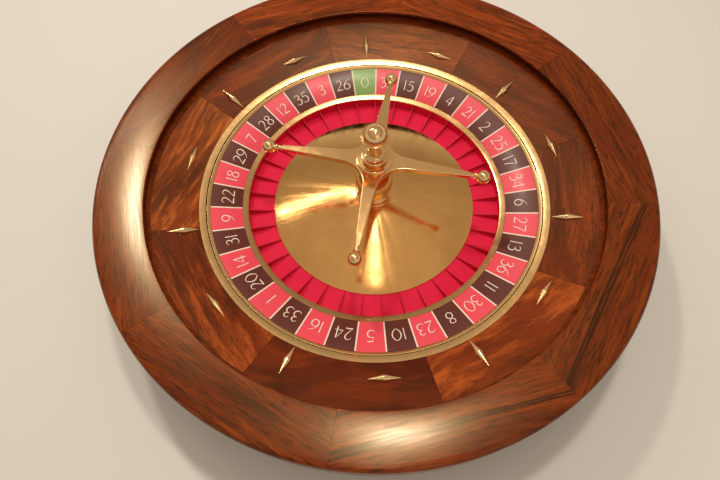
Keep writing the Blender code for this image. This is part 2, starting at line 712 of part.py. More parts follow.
def make_spindle(shop):
    """Fixed steel spindle on its flange."""
    flange = [
        (SPINDLE_FLANGE_RADIUS, FLANGE_TOP),
        (SPINDLE_FLANGE_RADIUS, FLANGE_BOTTOM),
        (SPINDLE_RADIUS + SEAT_GAP, FLANGE_BOTTOM),
        (SPINDLE_RADIUS + SEAT_GAP, FLANGE_TOP),
    ]
    turned(shop, "spindle_flange", flange, SHAFT_STEPS, "steel")
    spindle = [
        (0.0, SPINDLE_TOP),
        (SPINDLE_NECK_RADIUS - SPINDLE_CHAMFER, SPINDLE_TOP),
        (SPINDLE_NECK_RADIUS, SPINDLE_TOP - SPINDLE_CHAMFER),
        (SPINDLE_NECK_RADIUS, SPINDLE_SHOULDER),
        (SPINDLE_RADIUS, SPINDLE_SHOULDER),
        (SPINDLE_RADIUS, FLANGE_BOTTOM),
        (0.0, FLANGE_BOTTOM),
    ]
    turned(shop, "spindle", spindle, SHAFT_STEPS, "steel")


def make_hub(shop, rotor):
    """Hub sleeve with a flange under the wheel's disc, and the bronze bush in its mouth."""
    hub = [
        (HUB_RADIUS, HUB_TOP),
        (HUB_RADIUS, HUB_FLANGE_TOP),
        (HUB_FLANGE_RADIUS, HUB_FLANGE_TOP),
        (HUB_FLANGE_RADIUS, HUB_BOTTOM),
        (HUB_BORE_RADIUS, HUB_BOTTOM),
        (HUB_BORE_RADIUS, HUB_CEILING),
        (BEARING_PITCH_RADIUS, HUB_CEILING),
        (BEARING_PITCH_RADIUS, HUB_TOP),
    ]
    turned(shop, "rotor_hub", hub, SHAFT_STEPS, "steel", parent=rotor)
    bush_bottom = HUB_BOTTOM + BUSH_INSET
    bush = [
        (HUB_BORE_RADIUS - SEAT_GAP, bush_bottom + BUSH_LENGTH),
        (HUB_BORE_RADIUS - SEAT_GAP, bush_bottom),
        (SPINDLE_RADIUS + SEAT_GAP, bush_bottom),
        (SPINDLE_RADIUS + SEAT_GAP, bush_bottom + BUSH_LENGTH),
    ]
    turned(shop, "lower_bush", bush, SHAFT_STEPS, "bronze", parent=rotor)


def make_upper_bearing(shop, rotor, cage_axis):
    """Ball bearing that carries the wheel head on the spindle's shoulder."""
    groove = BEARING_GROOVE_HALF_WIDTH
    reach = BEARING_BALL_RADIUS + BEARING_PLAY
    outer = [
        (HUB_BORE_RADIUS - SEAT_GAP, BEARING_TOP),
        (HUB_BORE_RADIUS - SEAT_GAP, BEARING_BOTTOM),
        (BEARING_PITCH_RADIUS + BEARING_LAND_OFFSET, BEARING_BOTTOM),
        (BEARING_PITCH_RADIUS + BEARING_LAND_OFFSET, BEARING_MIDDLE - groove),
        (BEARING_PITCH_RADIUS + reach, BEARING_MIDDLE - groove / 2.0),
        (BEARING_PITCH_RADIUS + reach, BEARING_MIDDLE + groove / 2.0),
        (BEARING_PITCH_RADIUS + BEARING_LAND_OFFSET, BEARING_MIDDLE + groove),
        (BEARING_PITCH_RADIUS + BEARING_LAND_OFFSET, BEARING_TOP),
    ]
    turned(shop, "bearing_outer_race", outer, SHAFT_STEPS, "steel", parent=rotor)
    inner = [
        (BEARING_PITCH_RADIUS - BEARING_LAND_OFFSET, BEARING_TOP),
        (BEARING_PITCH_RADIUS - BEARING_LAND_OFFSET, BEARING_MIDDLE + groove),
        (BEARING_PITCH_RADIUS - reach, BEARING_MIDDLE + groove / 2.0),
        (BEARING_PITCH_RADIUS - reach, BEARING_MIDDLE - groove / 2.0),
        (BEARING_PITCH_RADIUS - BEARING_LAND_OFFSET, BEARING_MIDDLE - groove),
        (BEARING_PITCH_RADIUS - BEARING_LAND_OFFSET, BEARING_BOTTOM),
        (SPINDLE_NECK_RADIUS + SEAT_GAP, BEARING_BOTTOM),
        (SPINDLE_NECK_RADIUS + SEAT_GAP, BEARING_TOP),
    ]
    turned(shop, "bearing_inner_race", inner, SHAFT_STEPS, "steel")
    half_height = BEARING_CAGE_HEIGHT / 2.0
    half_wall = BEARING_CAGE_THICKNESS / 2.0
    ring = [
        (BEARING_PITCH_RADIUS + half_wall, BEARING_MIDDLE + half_height),
        (BEARING_PITCH_RADIUS + half_wall, BEARING_MIDDLE - half_height),
        (BEARING_PITCH_RADIUS - half_wall, BEARING_MIDDLE - half_height),
        (BEARING_PITCH_RADIUS - half_wall, BEARING_MIDDLE + half_height),
    ]
    cage = turned(shop, "bearing_cage", ring, BEARING_BALL_COUNT * 3, "bronze", parent=cage_axis)
    balls = bpy.data.meshes.new("bearing_balls")
    bm = bmesh.new()
    for angle in around(BEARING_BALL_COUNT, 180.0 / (BEARING_BALL_COUNT * 3)):
        move = Matrix.Translation(polar(BEARING_PITCH_RADIUS, angle, BEARING_MIDDLE))
        bmesh.ops.create_uvsphere(
            bm, u_segments=BEARING_BALL_SIDES, v_segments=BEARING_BALL_RINGS,
            radius=BEARING_BALL_RADIUS, matrix=move,
        )
    bm.to_mesh(balls)
    bm.free()
    shop.boolean(cage, shop.cutter("bearing_balls", balls), "UNION")


# Wheel head

def make_rotor_body(shop, rotor):
    """Wooden disc and outer ring of the wheel head, with its brass band."""
    disc_radius = ROTOR_RADIUS - ROTOR_DISC_INSET
    disc = [
        (disc_radius, DISC_TOP),
        (disc_radius, DISC_BOTTOM),
        (HUB_RADIUS + SEAT_GAP, DISC_BOTTOM),
        (HUB_RADIUS + SEAT_GAP, DISC_TOP),
    ]
    turned(shop, "rotor_base_disc", disc, POCKET_COUNT, "plywood", POCKET_EDGE_DEG, rotor)
    band_bottom = number_level(NUMBER_RING_RADIUS) - ROTOR_BAND_DEPTH
    under = NUMBER_RING_THICKNESS + SEAT_GAP
    bore = POCKET_WALL_RADIUS + SEAT_GAP
    ring = [
        (bore, number_level(bore) - under),
        (NUMBER_RING_RADIUS, number_level(NUMBER_RING_RADIUS) - under),
        (NUMBER_RING_RADIUS, band_bottom - SEAT_GAP),
        (ROTOR_RADIUS, band_bottom - SEAT_GAP),
        (ROTOR_RADIUS, FLOOR_BOTTOM),
        (bore, FLOOR_BOTTOM),
    ]
    turned(shop, "rotor_outer_ring", ring, POCKET_COUNT, "body_wood", POCKET_EDGE_DEG, rotor)
    band_bore = NUMBER_RING_RADIUS + SEAT_GAP
    band_inner_top = number_level(NUMBER_RING_RADIUS) + ROTOR_BAND_STEP
    band = [
        (band_bore, band_inner_top),
        (ROTOR_RADIUS, band_inner_top + ROTOR_BAND_RISE),
        (ROTOR_RADIUS, band_bottom),
        (band_bore, band_bottom),
    ]
    turned(shop, "rotor_rim_band", band, ROTOR_STEPS, "brass", POCKET_EDGE_DEG, rotor)


def sloped_ring(outer_radius, inner_radius):
    """Profile of a thin ring that lies on the number band's slope."""
    return [
        (inner_radius, number_level(inner_radius)),
        (outer_radius, number_level(outer_radius)),
        (outer_radius, number_level(outer_radius) - NUMBER_RING_THICKNESS),
        (inner_radius, number_level(inner_radius) - NUMBER_RING_THICKNESS),
    ]


def make_number_band(shop, rotor):
    """Number ring and the brass ring between it and the pockets."""
    numbers = sloped_ring(NUMBER_RING_RADIUS, NUMBER_RING_BORE)
    turned(shop, "number_ring", numbers, ROTOR_STEPS, "number_enamel", POCKET_EDGE_DEG, rotor)
    inner = sloped_ring(INNER_RING_RADIUS, INNER_RING_BORE)
    turned(shop, "inner_brass_ring", inner, ROTOR_STEPS, "brass", POCKET_EDGE_DEG, rotor)


def fret_set_mesh():
    """Thin upright plates, one on each line between two pockets."""
    outer = POCKET_WALL_BORE - SEAT_GAP - FRET_HOOP_WIDTH / 2.0
    inner = CONE_RADIUS + SEAT_GAP
    mesh = bpy.data.meshes.new("fret_set")
    bm = bmesh.new()
    for angle in around(POCKET_COUNT, POCKET_EDGE_DEG):
        plate = bmesh.ops.create_cube(bm, size=1.0)
        for vert in plate["verts"]:
            at_wall = vert.co.x > 0.0
            height = FRET_OUTER_HEIGHT if at_wall else FRET_INNER_HEIGHT
            vert.co.x = outer if at_wall else inner
            vert.co.y *= FRET_THICKNESS
            vert.co.z = POCKET_BOTTOM + (height if vert.co.z > 0.0 else 0.0)
        turn = Matrix.Rotation(math.radians(angle), 3, "Z")
        bmesh.ops.rotate(bm, verts=plate["verts"], matrix=turn)
    bm.to_mesh(mesh)
    bm.free()
    return mesh


def make_pockets(shop, rotor):
    """Pocket floor, the wall behind the pockets and the frets between them."""
    floor_bore = CONE_RADIUS - POCKET_FLOOR_TUCK
    floor = [
        (POCKET_WALL_RADIUS, FLOOR_TOP),
        (POCKET_WALL_RADIUS, FLOOR_BOTTOM),
        (floor_bore, FLOOR_BOTTOM),
        (floor_bore, FLOOR_TOP),
    ]
    turned(shop, "pocket_floor", floor, POCKET_COUNT, "pocket_red", POCKET_EDGE_DEG, rotor)
    wall_top = number_level(INNER_RING_BORE) - NUMBER_RING_THICKNESS - SEAT_GAP
    wall = [
        (POCKET_WALL_RADIUS, wall_top),
        (POCKET_WALL_RADIUS, POCKET_BOTTOM),
        (POCKET_WALL_BORE, POCKET_BOTTOM),
        (POCKET_WALL_BORE, wall_top),
    ]
    turned(shop, "pocket_back_ring", wall, POCKET_COUNT, "pocket_red", POCKET_EDGE_DEG, rotor)
    hoop_radius = POCKET_WALL_BORE - SEAT_GAP
    hoop = [
        (hoop_radius, POCKET_BOTTOM + FRET_HOOP_HEIGHT),
        (hoop_radius, POCKET_BOTTOM),
        (hoop_radius - FRET_HOOP_WIDTH, POCKET_BOTTOM),
        (hoop_radius - FRET_HOOP_WIDTH, POCKET_BOTTOM + FRET_HOOP_HEIGHT),
    ]
    frets = turned(shop, "pocket_frets", hoop, POCKET_COUNT, "pocket_red", POCKET_EDGE_DEG, rotor)
    shop.boolean(frets, shop.cutter("fret_set", fret_set_mesh()), "UNION")


def make_cone(shop, rotor):
    """Spun brass cone, a thin domed shell that stands on the pocket floor."""
    hole = HUB_RADIUS + SEAT_GAP
    radii = [CONE_RADIUS - (CONE_RADIUS - hole) * i / (CONE_POINTS - 1) for i in range(CONE_POINTS)]
    outside = [(radius, cone_level(radius)) for radius in radii]
    inner_edge = CONE_RADIUS - CONE_THICKNESS
    inside = [
        (radius, cone_level(radius) - CONE_THICKNESS)
        for radius in (hole, (hole + inner_edge) / 2.0, inner_edge)
    ]
    foot = [(inner_edge, POCKET_BOTTOM), (CONE_RADIUS, POCKET_BOTTOM)]
    turned(shop, "cone", outside + inside + foot, POCKET_COUNT, "brass", POCKET_EDGE_DEG, rotor)


# Turret

def make_column(shop, rotor):
    """Barrel-shaped column with a stepped foot, recessed over the spindle's end."""
    bead_bottom = COLUMN_BOTTOM + COLUMN_BASE_HEIGHT + COLUMN_COVE_HEIGHT
    barrel_bottom = bead_bottom + COLUMN_BEAD_HEIGHT
    cap_bottom = COLUMN_TOP - COLUMN_CAP_HEIGHT
    barrel = []
    for i in range(COLUMN_BARREL_POINTS):
        share = i / (COLUMN_BARREL_POINTS - 1)
        if share < COLUMN_BARREL_SHARE:
            bulge = math.sin(math.pi / 2.0 * share / COLUMN_BARREL_SHARE)
            radius = COLUMN_COVE_RADIUS + (COLUMN_BARREL_RADIUS - COLUMN_COVE_RADIUS) * bulge
        else:
            fall = (share - COLUMN_BARREL_SHARE) / (1.0 - COLUMN_BARREL_SHARE)
            drop = 1.0 - math.cos(math.pi / 2.0 * fall)
            radius = COLUMN_BARREL_RADIUS - (COLUMN_BARREL_RADIUS - COLUMN_TOP_RADIUS) * drop
        barrel.append((radius, barrel_bottom + (cap_bottom - barrel_bottom) * share))
    recess_radius = SPINDLE_NECK_RADIUS + COLUMN_RECESS_CLEARANCE
    recess_top = SPINDLE_TOP + COLUMN_RECESS_CLEARANCE
    profile = [
        (0.0, COLUMN_TOP),
        (COLUMN_CAP_RADIUS, COLUMN_TOP),
        (COLUMN_CAP_RADIUS, cap_bottom),
        *barrel[::-1],
        (COLUMN_BEAD_RADIUS, barrel_bottom),
        (COLUMN_BEAD_RADIUS, bead_bottom),
        (COLUMN_COVE_RADIUS, COLUMN_BOTTOM + COLUMN_BASE_HEIGHT),
        (COLUMN_BASE_RADIUS, COLUMN_BOTTOM + COLUMN_BASE_HEIGHT),
        (COLUMN_BASE_RADIUS, COLUMN_BOTTOM),
        (recess_radius, COLUMN_BOTTOM),
        (recess_radius, recess_top),
        (0.0, recess_top),
    ]
    turned(shop, "turret_column", profile, TURRET_STEPS, "brass", ARM_DEG, rotor)


def cross_outline():
    """Corner points of the cross seen from above, arm by arm."""
    tip = CROSS_ARM_REACH * CROSS_TIP_SHARE
    root = CROSS_ROOT_HALF_WIDTH + CROSS_FILLET_RADIUS
    points = []
    for arm in range(ARM_COUNT):
        turn = math.radians(360.0 * arm / ARM_COUNT)
        corner = [(tip, -CROSS_TIP_HALF_WIDTH), (tip, CROSS_TIP_HALF_WIDTH)]
        corner += arc(root, root, CROSS_FILLET_RADIUS, 270.0, 180.0, CROSS_FILLET_POINTS)
        for x, y in corner:
            points.append((x * math.cos(turn) - y * math.sin(turn),
                           x * math.sin(turn) + y * math.cos(turn)))
    return points


def cross_plate_mesh():
    """Flat four-armed plate, thinned and dropped slightly towards its tips."""
    curve = bpy.data.curves.new("cross_outline", "CURVE")
    curve.dimensions = "2D"
    curve.fill_mode = "BOTH"
    curve.extrude = CROSS_HUB_THICKNESS / 2.0
    outline = cross_outline()
    spline = curve.splines.new("POLY")
    spline.points.add(len(outline) - 1)
    for point, (x, y) in zip(spline.points, outline):
        point.co = (x, y, 0.0, 1.0)
    spline.use_cyclic_u = True
    holder = bpy.data.objects.new("cross_outline", curve)
    bpy.context.scene.collection.objects.link(holder)
    depsgraph = bpy.context.evaluated_depsgraph_get()
    depsgraph.update()
    mesh = bpy.data.meshes.new_from_object(holder.evaluated_get(depsgraph))
    bpy.data.objects.remove(holder, do_unlink=True)
    bm = bmesh.new()
    bm.from_mesh(mesh)
    bmesh.ops.remove_doubles(bm, verts=bm.verts, dist=MERGE_DISTANCE)
    tip = CROSS_ARM_REACH * CROSS_TIP_SHARE
    root = CROSS_ROOT_HALF_WIDTH + CROSS_FILLET_RADIUS
    for vert in bm.verts:
        radius = math.hypot(vert.co.x, vert.co.y)
        share = min(max((radius - root) / (tip - root), 0.0), 1.0)
        top = -CROSS_TOP_DROP * share
        thickness = CROSS_HUB_THICKNESS + (CROSS_TIP_THICKNESS - CROSS_HUB_THICKNESS) * share
        vert.co.z = CROSS_TOP + (top if vert.co.z > 0.0 else top - thickness)
    bmesh.ops.recalc_face_normals(bm, faces=bm.faces)
    bm.to_mesh(mesh)
    bm.free()
    return mesh


def arm_ends_mesh():
    """Round neck, collar and ball at the end of each arm."""
    level = CROSS_TOP - CROSS_TOP_DROP - CROSS_TIP_THICKNESS / 2.0
    tip = CROSS_ARM_REACH * CROSS_TIP_SHARE
    mesh = bpy.data.meshes.new("arm_ends")
    bm = bmesh.new()
    lay = Matrix.Rotation(math.radians(90.0), 4, "Y")
    for angle in around(ARM_COUNT, 0.0):
        turn = Matrix.Rotation(math.radians(angle), 4, "Z")
        start = tip - CROSS_TIP_HALF_WIDTH
        rods = [(CROSS_NECK_RADIUS, start, CROSS_ARM_REACH)]
        collar_start = CROSS_ARM_REACH - CROSS_BALL_RADIUS - CROSS_BALL_COLLAR_LENGTH / 2.0
        rods.append((CROSS_BALL_COLLAR_RADIUS, collar_start, collar_start + CROSS_BALL_COLLAR_LENGTH))
        for radius, near, far in rods:
            middle = Matrix.Translation(((near + far) / 2.0, 0.0, level))
            bmesh.ops.create_cone(
                bm, cap_ends=True, segments=ARM_ROD_SIDES, radius1=radius, radius2=radius,
                depth=far - near, matrix=turn @ middle @ lay,
            )
        ball = Matrix.Translation((CROSS_ARM_REACH, 0.0, level))
        bmesh.ops.create_uvsphere(
            bm, u_segments=ARM_BALL_SIDES, v_segments=ARM_BALL_RINGS,
            radius=CROSS_BALL_RADIUS, matrix=turn @ ball @ lay,
        )
    bm.to_mesh(mesh)
    bm.free()
    return mesh


def make_cross(shop, rotor):
    """Four-armed handle of the turret with a ball on each arm."""
    cross = shop.add("turret_cross", cross_plate_mesh(), "brass", rotor)
    ends = shop.cutter("arm_ends", arm_ends_mesh())
    modifier = cross.modifiers.new("join", "BOOLEAN")
    modifier.operation = "UNION"
    modifier.solver = "EXACT"
    modifier.use_self = True
    modifier.object = ends
    shop.apply(cross)
    bpy.data.objects.remove(ends, do_unlink=True)
    cross.rotation_euler.z = math.radians(ARM_DEG)


def make_collar_and_finial(shop, rotor):
    """Collar that clamps the cross, and the domed knob on its neck."""
    rim_top = COLLAR_BOTTOM + COLLAR_RIM_HEIGHT
    waist_top = rim_top + COLLAR_WAIST_HEIGHT
    collar = [
        (0.0, COLLAR_TOP),
        (COLLAR_BEAD_RADIUS - COLLAR_ROUNDING / 2.0, COLLAR_TOP),
        (COLLAR_BEAD_RADIUS, COLLAR_TOP - COLLAR_BEAD_HEIGHT / 2.0),
        (COLLAR_WAIST_RADIUS, waist_top),
        (COLLAR_WAIST_RADIUS + COLLAR_ROUNDING, rim_top + COLLAR_ROUNDING),
        (COLLAR_RADIUS - COLLAR_ROUNDING, rim_top),
        (COLLAR_RADIUS, rim_top - COLLAR_ROUNDING),
        (COLLAR_RADIUS, COLLAR_BOTTOM + COLLAR_ROUNDING),
        (COLLAR_RADIUS - COLLAR_ROUNDING, COLLAR_BOTTOM),
        (0.0, COLLAR_BOTTOM),
    ]
    turned(shop, "turret_collar", collar, TURRET_STEPS, "brass", ARM_DEG, rotor)
    flange_bottom = FINIAL_BOTTOM + FINIAL_NECK_HEIGHT
    flange_top = flange_bottom + FINIAL_FLANGE_HEIGHT
    dome = [
        (FINIAL_DOME_RADIUS * math.sin(turn), flange_top + FINIAL_DOME_HEIGHT * math.cos(turn))
        for turn in (math.pi / 2.0 * i / FINIAL_DOME_POINTS for i in range(1, FINIAL_DOME_POINTS + 1))
    ]
    finial = [
        (0.0, flange_top + FINIAL_DOME_HEIGHT),
        *dome,
        (FINIAL_FLANGE_RADIUS - FINIAL_FLANGE_ROUNDING, flange_top),
        (FINIAL_FLANGE_RADIUS, flange_top - FINIAL_FLANGE_ROUNDING),
        (FINIAL_FLANGE_RADIUS, flange_bottom + FINIAL_FLANGE_ROUNDING),
        (FINIAL_FLANGE_RADIUS - FINIAL_FLANGE_ROUNDING, flange_bottom),
        (FINIAL_FLARE_RADIUS, flange_bottom),
        (FINIAL_NECK_RADIUS, flange_bottom - FINIAL_FLARE_HEIGHT),
        (FINIAL_NECK_RADIUS, FINIAL_BOTTOM + FINIAL_FOOT_HEIGHT),
        (FINIAL_FOOT_RADIUS, FINIAL_BOTTOM),
        (0.0, FINIAL_BOTTOM),
    ]
    turned(shop, "turret_finial", finial, SHAFT_STEPS, "brass", ARM_DEG, rotor)


def main():
    """Build the whole wheel."""
    clear_scene()
    shop = Workshop()
    rotor = shop.axis("rotor_axis")
    cage_axis = shop.axis("bearing_cage_axis")
    make_feet(shop)
    make_base_board(shop)
    make_bowl_body(shop)
    make_rim(shop)
    make_ball_track(shop)
    make_apron(shop)
    make_deflectors(shop)
    make_spindle(shop)
    make_hub(shop, rotor)
    make_upper_bearing(shop, rotor, cage_axis)
    make_rotor_body(shop, rotor)
    make_number_band(shop, rotor)
    make_pockets(shop, rotor)
    make_cone(shop, rotor)
    make_column(shop, rotor)
    make_cross(shop, rotor)
    make_collar_and_finial(shop, rotor)


main()
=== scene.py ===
"""Dresses the roulette wheel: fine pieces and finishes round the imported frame.

All lengths are metres in the frame's own axes: +Z up, the wheel's axis at x = y = 0, and the
front of the wheel towards -Y. Round pieces are turned from (radius, level) profiles with the
spin operator. Every piece takes its place from the frame's nodes.
"""

from __future__ import annotations

import json
import logging
import math
from dataclasses import dataclass, field
from enum import Enum
from typing import Callable, Protocol, Sequence

import bmesh
import bpy
from mathutils import Matrix, Vector

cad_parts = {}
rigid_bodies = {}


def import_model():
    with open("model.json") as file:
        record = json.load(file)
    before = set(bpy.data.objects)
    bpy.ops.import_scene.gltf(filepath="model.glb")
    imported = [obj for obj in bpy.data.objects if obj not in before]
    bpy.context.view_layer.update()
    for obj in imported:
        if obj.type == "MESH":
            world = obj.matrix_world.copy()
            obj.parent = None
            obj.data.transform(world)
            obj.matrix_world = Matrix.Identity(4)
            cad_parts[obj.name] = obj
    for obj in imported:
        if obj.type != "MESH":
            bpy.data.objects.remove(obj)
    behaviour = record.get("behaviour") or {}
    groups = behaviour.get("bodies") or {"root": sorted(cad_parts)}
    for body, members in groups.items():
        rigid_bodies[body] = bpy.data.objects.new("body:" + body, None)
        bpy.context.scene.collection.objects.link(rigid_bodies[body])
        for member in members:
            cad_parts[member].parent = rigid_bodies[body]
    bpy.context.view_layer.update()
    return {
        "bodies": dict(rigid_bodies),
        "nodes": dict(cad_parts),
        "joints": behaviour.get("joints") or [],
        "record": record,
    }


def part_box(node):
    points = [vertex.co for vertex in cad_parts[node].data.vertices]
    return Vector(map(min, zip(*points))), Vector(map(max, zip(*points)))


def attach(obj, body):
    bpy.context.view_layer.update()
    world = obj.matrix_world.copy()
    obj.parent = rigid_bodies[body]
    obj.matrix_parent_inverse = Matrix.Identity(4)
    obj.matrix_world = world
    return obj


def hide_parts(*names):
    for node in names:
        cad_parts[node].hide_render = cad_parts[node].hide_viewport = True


LOG = logging.getLogger("roulette_wheel")
FULL_TURN = 360.0
MERGE_DISTANCE = 0.000005
SAME_PLACE = 0.00001
NOISE_REACH = (0.3, 0.8)
SMOOTH_ANGLE_DEG = 38.0
APRON_SLOPE_DEG = 17.41

Point = tuple[float, float]
Triple = tuple[float, float, float]
Colour = Triple


# Shared modelling


class Axis(Enum):
    """Axis that a profile is turned about."""

    UP = (0.0, 0.0, 1.0)
    ALONG_X = (1.0, 0.0, 0.0)


def arc(centre: Point, radius: float, start_deg: float, end_deg: float, points: int) -> list[Point]:
    """Gives the points of a circular arc from one direction to another, both ends included."""
    turns = [math.radians(start_deg + (end_deg - start_deg) * i / (points - 1)) for i in range(points)]
    return [(centre[0] + radius * math.cos(turn), centre[1] + radius * math.sin(turn)) for turn in turns]


def polar(radius: float, angle_deg: float, level: float) -> Vector:
    """Gives the point at a radius, direction and height."""
    angle = math.radians(angle_deg)
    return Vector((radius * math.cos(angle), radius * math.sin(angle), level))


def direction(azimuth_deg: float, elevation_deg: float) -> Vector:
    """Gives the unit vector at an azimuth and an elevation."""
    lift = math.radians(elevation_deg)
    return polar(math.cos(lift), azimuth_deg, math.sin(lift))


@dataclass(frozen=True)
class Extent:
    """How far a node of the frame reaches round the wheel's axis."""

    inner: float
    outer: float
    low: float
    high: float

    @classmethod
    def of(cls, node: str, frame: dict) -> Extent:
        """Measures a node.

        Args:
            node: Name of the node.

        Returns:
            Its least and greatest radius and height.
        """
        radii = [math.hypot(v.co.x, v.co.y) for v in frame["nodes"][node].data.vertices]
        low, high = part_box(node)
        return cls(min(radii), max(radii), low.z, high.z)


class Bench:
    """Makes and shapes pieces with the mesh operators, as by hand."""

    @staticmethod
    def start(name: str) -> bpy.types.Object:
        """Adds a piece that is one vertex at the origin and opens it for editing.

        Args:
            name: Name of the piece.

        Returns:
            The piece, in edit mode with its vertex selected.
        """
        bpy.ops.object.select_all(action="DESELECT")
        bpy.ops.mesh.primitive_plane_add(size=1.0, location=(0.0, 0.0, 0.0))
        piece = bpy.context.object
        piece.name = name
        piece.data.name = name
        bpy.ops.object.mode_set(mode="EDIT")
        bpy.ops.mesh.select_all(action="SELECT")
        bpy.ops.mesh.merge(type="CENTER")
        return piece

    @staticmethod
    def trace(points: Sequence[Vector], close: bool) -> None:
        """Draws a line of edges from the open piece's single vertex.

        Args:
            points: Where the line goes, its first point included.
            close: Whether an edge joins the last point to the first.
        """
        bpy.ops.transform.translate(value=points[0])
        for before, after in zip(points, points[1:]):
            bpy.ops.mesh.extrude_vertices_move(TRANSFORM_OT_translate={"value": after - before})
        if close:
            mesh = bmesh.from_edit_mesh(bpy.context.object.data)
            mesh.verts.ensure_lookup_table()
            mesh.verts[0].select_set(True)
            mesh.select_flush_mode()
            bmesh.update_edit_mesh(bpy.context.object.data)
            bpy.ops.mesh.edge_face_add()

    @staticmethod
    def select(test: Callable[[Vector], bool]) -> None:
        """Selects the open piece's vertices by their place.

        Args:
            test: Says of a vertex's place whether it counts.
        """
        bpy.ops.mesh.select_mode(type="VERT")
        bpy.ops.mesh.select_all(action="DESELECT")
        mesh = bmesh.from_edit_mesh(bpy.context.object.data)
        for vertex in mesh.verts:
            if test(vertex.co):
                vertex.select_set(True)
        mesh.select_flush_mode()
        bmesh.update_edit_mesh(bpy.context.object.data)

    @staticmethod
    def thicken(shift: Vector) -> None:
        """Fills the open piece's outline and pulls the face out into a plate.

        Args:
            shift: Thickness and direction of the plate.
        """
        bpy.ops.mesh.select_all(action="SELECT")
        bpy.ops.mesh.edge_face_add()
        bpy.ops.mesh.extrude_region_move(TRANSFORM_OT_translate={"value": shift})

    @staticmethod
    def close(piece: bpy.types.Object, smooth: bool = True) -> bpy.types.Object:
        """Merges doubles, turns the faces outwards and leaves edit mode.

        Args:
            piece: The open piece.
            smooth: Whether its gentle angles are shaded smooth.

        Returns:
            The piece, in object mode.
        """
        bpy.ops.mesh.select_mode(type="VERT")
        bpy.ops.mesh.select_all(action="SELECT")
        bpy.ops.mesh.remove_doubles(threshold=MERGE_DISTANCE)
        bpy.ops.mesh.normals_make_consistent(inside=False)
        bpy.ops.object.mode_set(mode="OBJECT")
        if smooth:
            bpy.ops.object.shade_smooth_by_angle(angle=math.radians(SMOOTH_ANGLE_DEG))
        return piece

    @classmethod
    def turn(
        cls,
        name: str,
        profile: Sequence[Point],
        steps: int,
        axis: Axis = Axis.UP,
        level: float = 0.0,
        sweep: tuple[float, float] | None = None,
    ) -> bpy.types.Object:
        """Turns a profile into a round piece, or into one block of a ring.

        Args:
            name: Name of the piece.
            profile: (radius, level) points about the Z axis, or (place, radius) about X.
            steps: Number of facets round the sweep.
            axis: Axis to turn about.
            level: Height of a lying axis.
            sweep: First direction and angle of a block, in degrees, or None for a full turn.

        Returns:
            The piece, in object mode.
        """
        piece = cls.start(name)
        if axis is Axis.UP:
            points = [Vector((radius, 0.0, height)) for radius, height in profile]
            on_axis = profile[0][0] == 0.0 and profile[-1][0] == 0.0
        else:
            points = [Vector((place, 0.0, level + radius)) for place, radius in profile]
            on_axis = profile[0][1] == 0.0 and profile[-1][1] == 0.0
        cls.trace(points, close=not on_axis)
        bpy.ops.mesh.select_all(action="SELECT")
        start, angle = (0.0, FULL_TURN) if sweep is None else sweep
        if sweep is not None:
            bpy.ops.mesh.edge_face_add()
            bpy.ops.mesh.select_all(action="SELECT")
        bpy.ops.mesh.spin(
            steps=steps,
            angle=-math.radians(angle),
            center=(0.0, 0.0, level if axis is Axis.ALONG_X else 0.0),
            axis=axis.value,
        )
        cls.close(piece)
        if start:
            piece.data.transform(Matrix.Rotation(math.radians(start), 4, "Z"))
        return piece

    @staticmethod
    def soften(piece: bpy.types.Object, width: float, segments: int = 2) -> None:
        """Rounds a piece's sharp edges with a bevel.

        Args:
            piece: The piece, in object mode.
            width: Width of the rounding.
            segments: Facets across it.
        """
        bpy.ops.object.select_all(action="DESELECT")
        piece.select_set(True)
        bpy.context.view_layer.objects.active = piece
        bpy.ops.object.modifier_add(type="BEVEL")
        bevel = piece.modifiers[-1]
        bevel.width = width
        bevel.segments = segments
        bevel.limit_method = "ANGLE"
        bevel.angle_limit = math.radians(SMOOTH_ANGLE_DEG)
        bevel.harden_normals = False
        bpy.ops.object.modifier_apply(modifier=bevel.name)
        bpy.ops.object.shade_smooth_by_angle(angle=math.radians(SMOOTH_ANGLE_DEG))

    @staticmethod
    def copy(piece: bpy.types.Object, name: str, place: Matrix) -> bpy.types.Object:
        """Copies a piece with its own mesh and moves the mesh to its place.

        Args:
            piece: The pattern.
            name: Name of the copy.
            place: Where the copy's mesh goes from the pattern's.

        Returns:
            The copy.
        """
        twin = piece.copy()
        twin.data = piece.data.copy()
        twin.name = name
        twin.data.name = name
        twin.data.transform(place)
        bpy.context.scene.collection.objects.link(twin)
        return twin

    @classmethod
    def ring_of(cls, pattern: bpy.types.Object, name: str, angles_deg: Sequence[float]) -> bpy.types.Object:
        """Copies a pattern to each direction round the wheel's axis and joins the copies.

        Args:
            pattern: The pattern, which is removed at the end.
            name: Name of the joined piece.
            angles_deg: Directions of the copies.

        Returns:
            The joined piece.
        """
        copies = []
        for index, angle in enumerate(angles_deg):
            turn = Matrix.Rotation(math.radians(angle), 4, "Z")
            copies.append(cls.copy(pattern, f"{name}_{index}", turn))
        cls.drop(pattern)
        return cls.join(copies, name)

    @staticmethod
    def join(pieces: Sequence[bpy.types.Object], name: str) -> bpy.types.Object:
        """Joins pieces into the first of them.

        Args:
            pieces: The pieces, in object mode.
            name: Name of the joined piece.

        Returns:
            The joined piece.
        """
        bpy.ops.object.select_all(action="DESELECT")
        for piece in pieces:
            piece.select_set(True)
        bpy.context.view_layer.objects.active = pieces[0]
        bpy.ops.object.join()
        pieces[0].name = name
        pieces[0].data.name = name
        return pieces[0]

    @staticmethod
    def drop(piece: bpy.types.Object) -> None:
        """Removes a pattern piece once its copies are made."""
        bpy.data.objects.remove(piece, do_unlink=True)


# Shader building


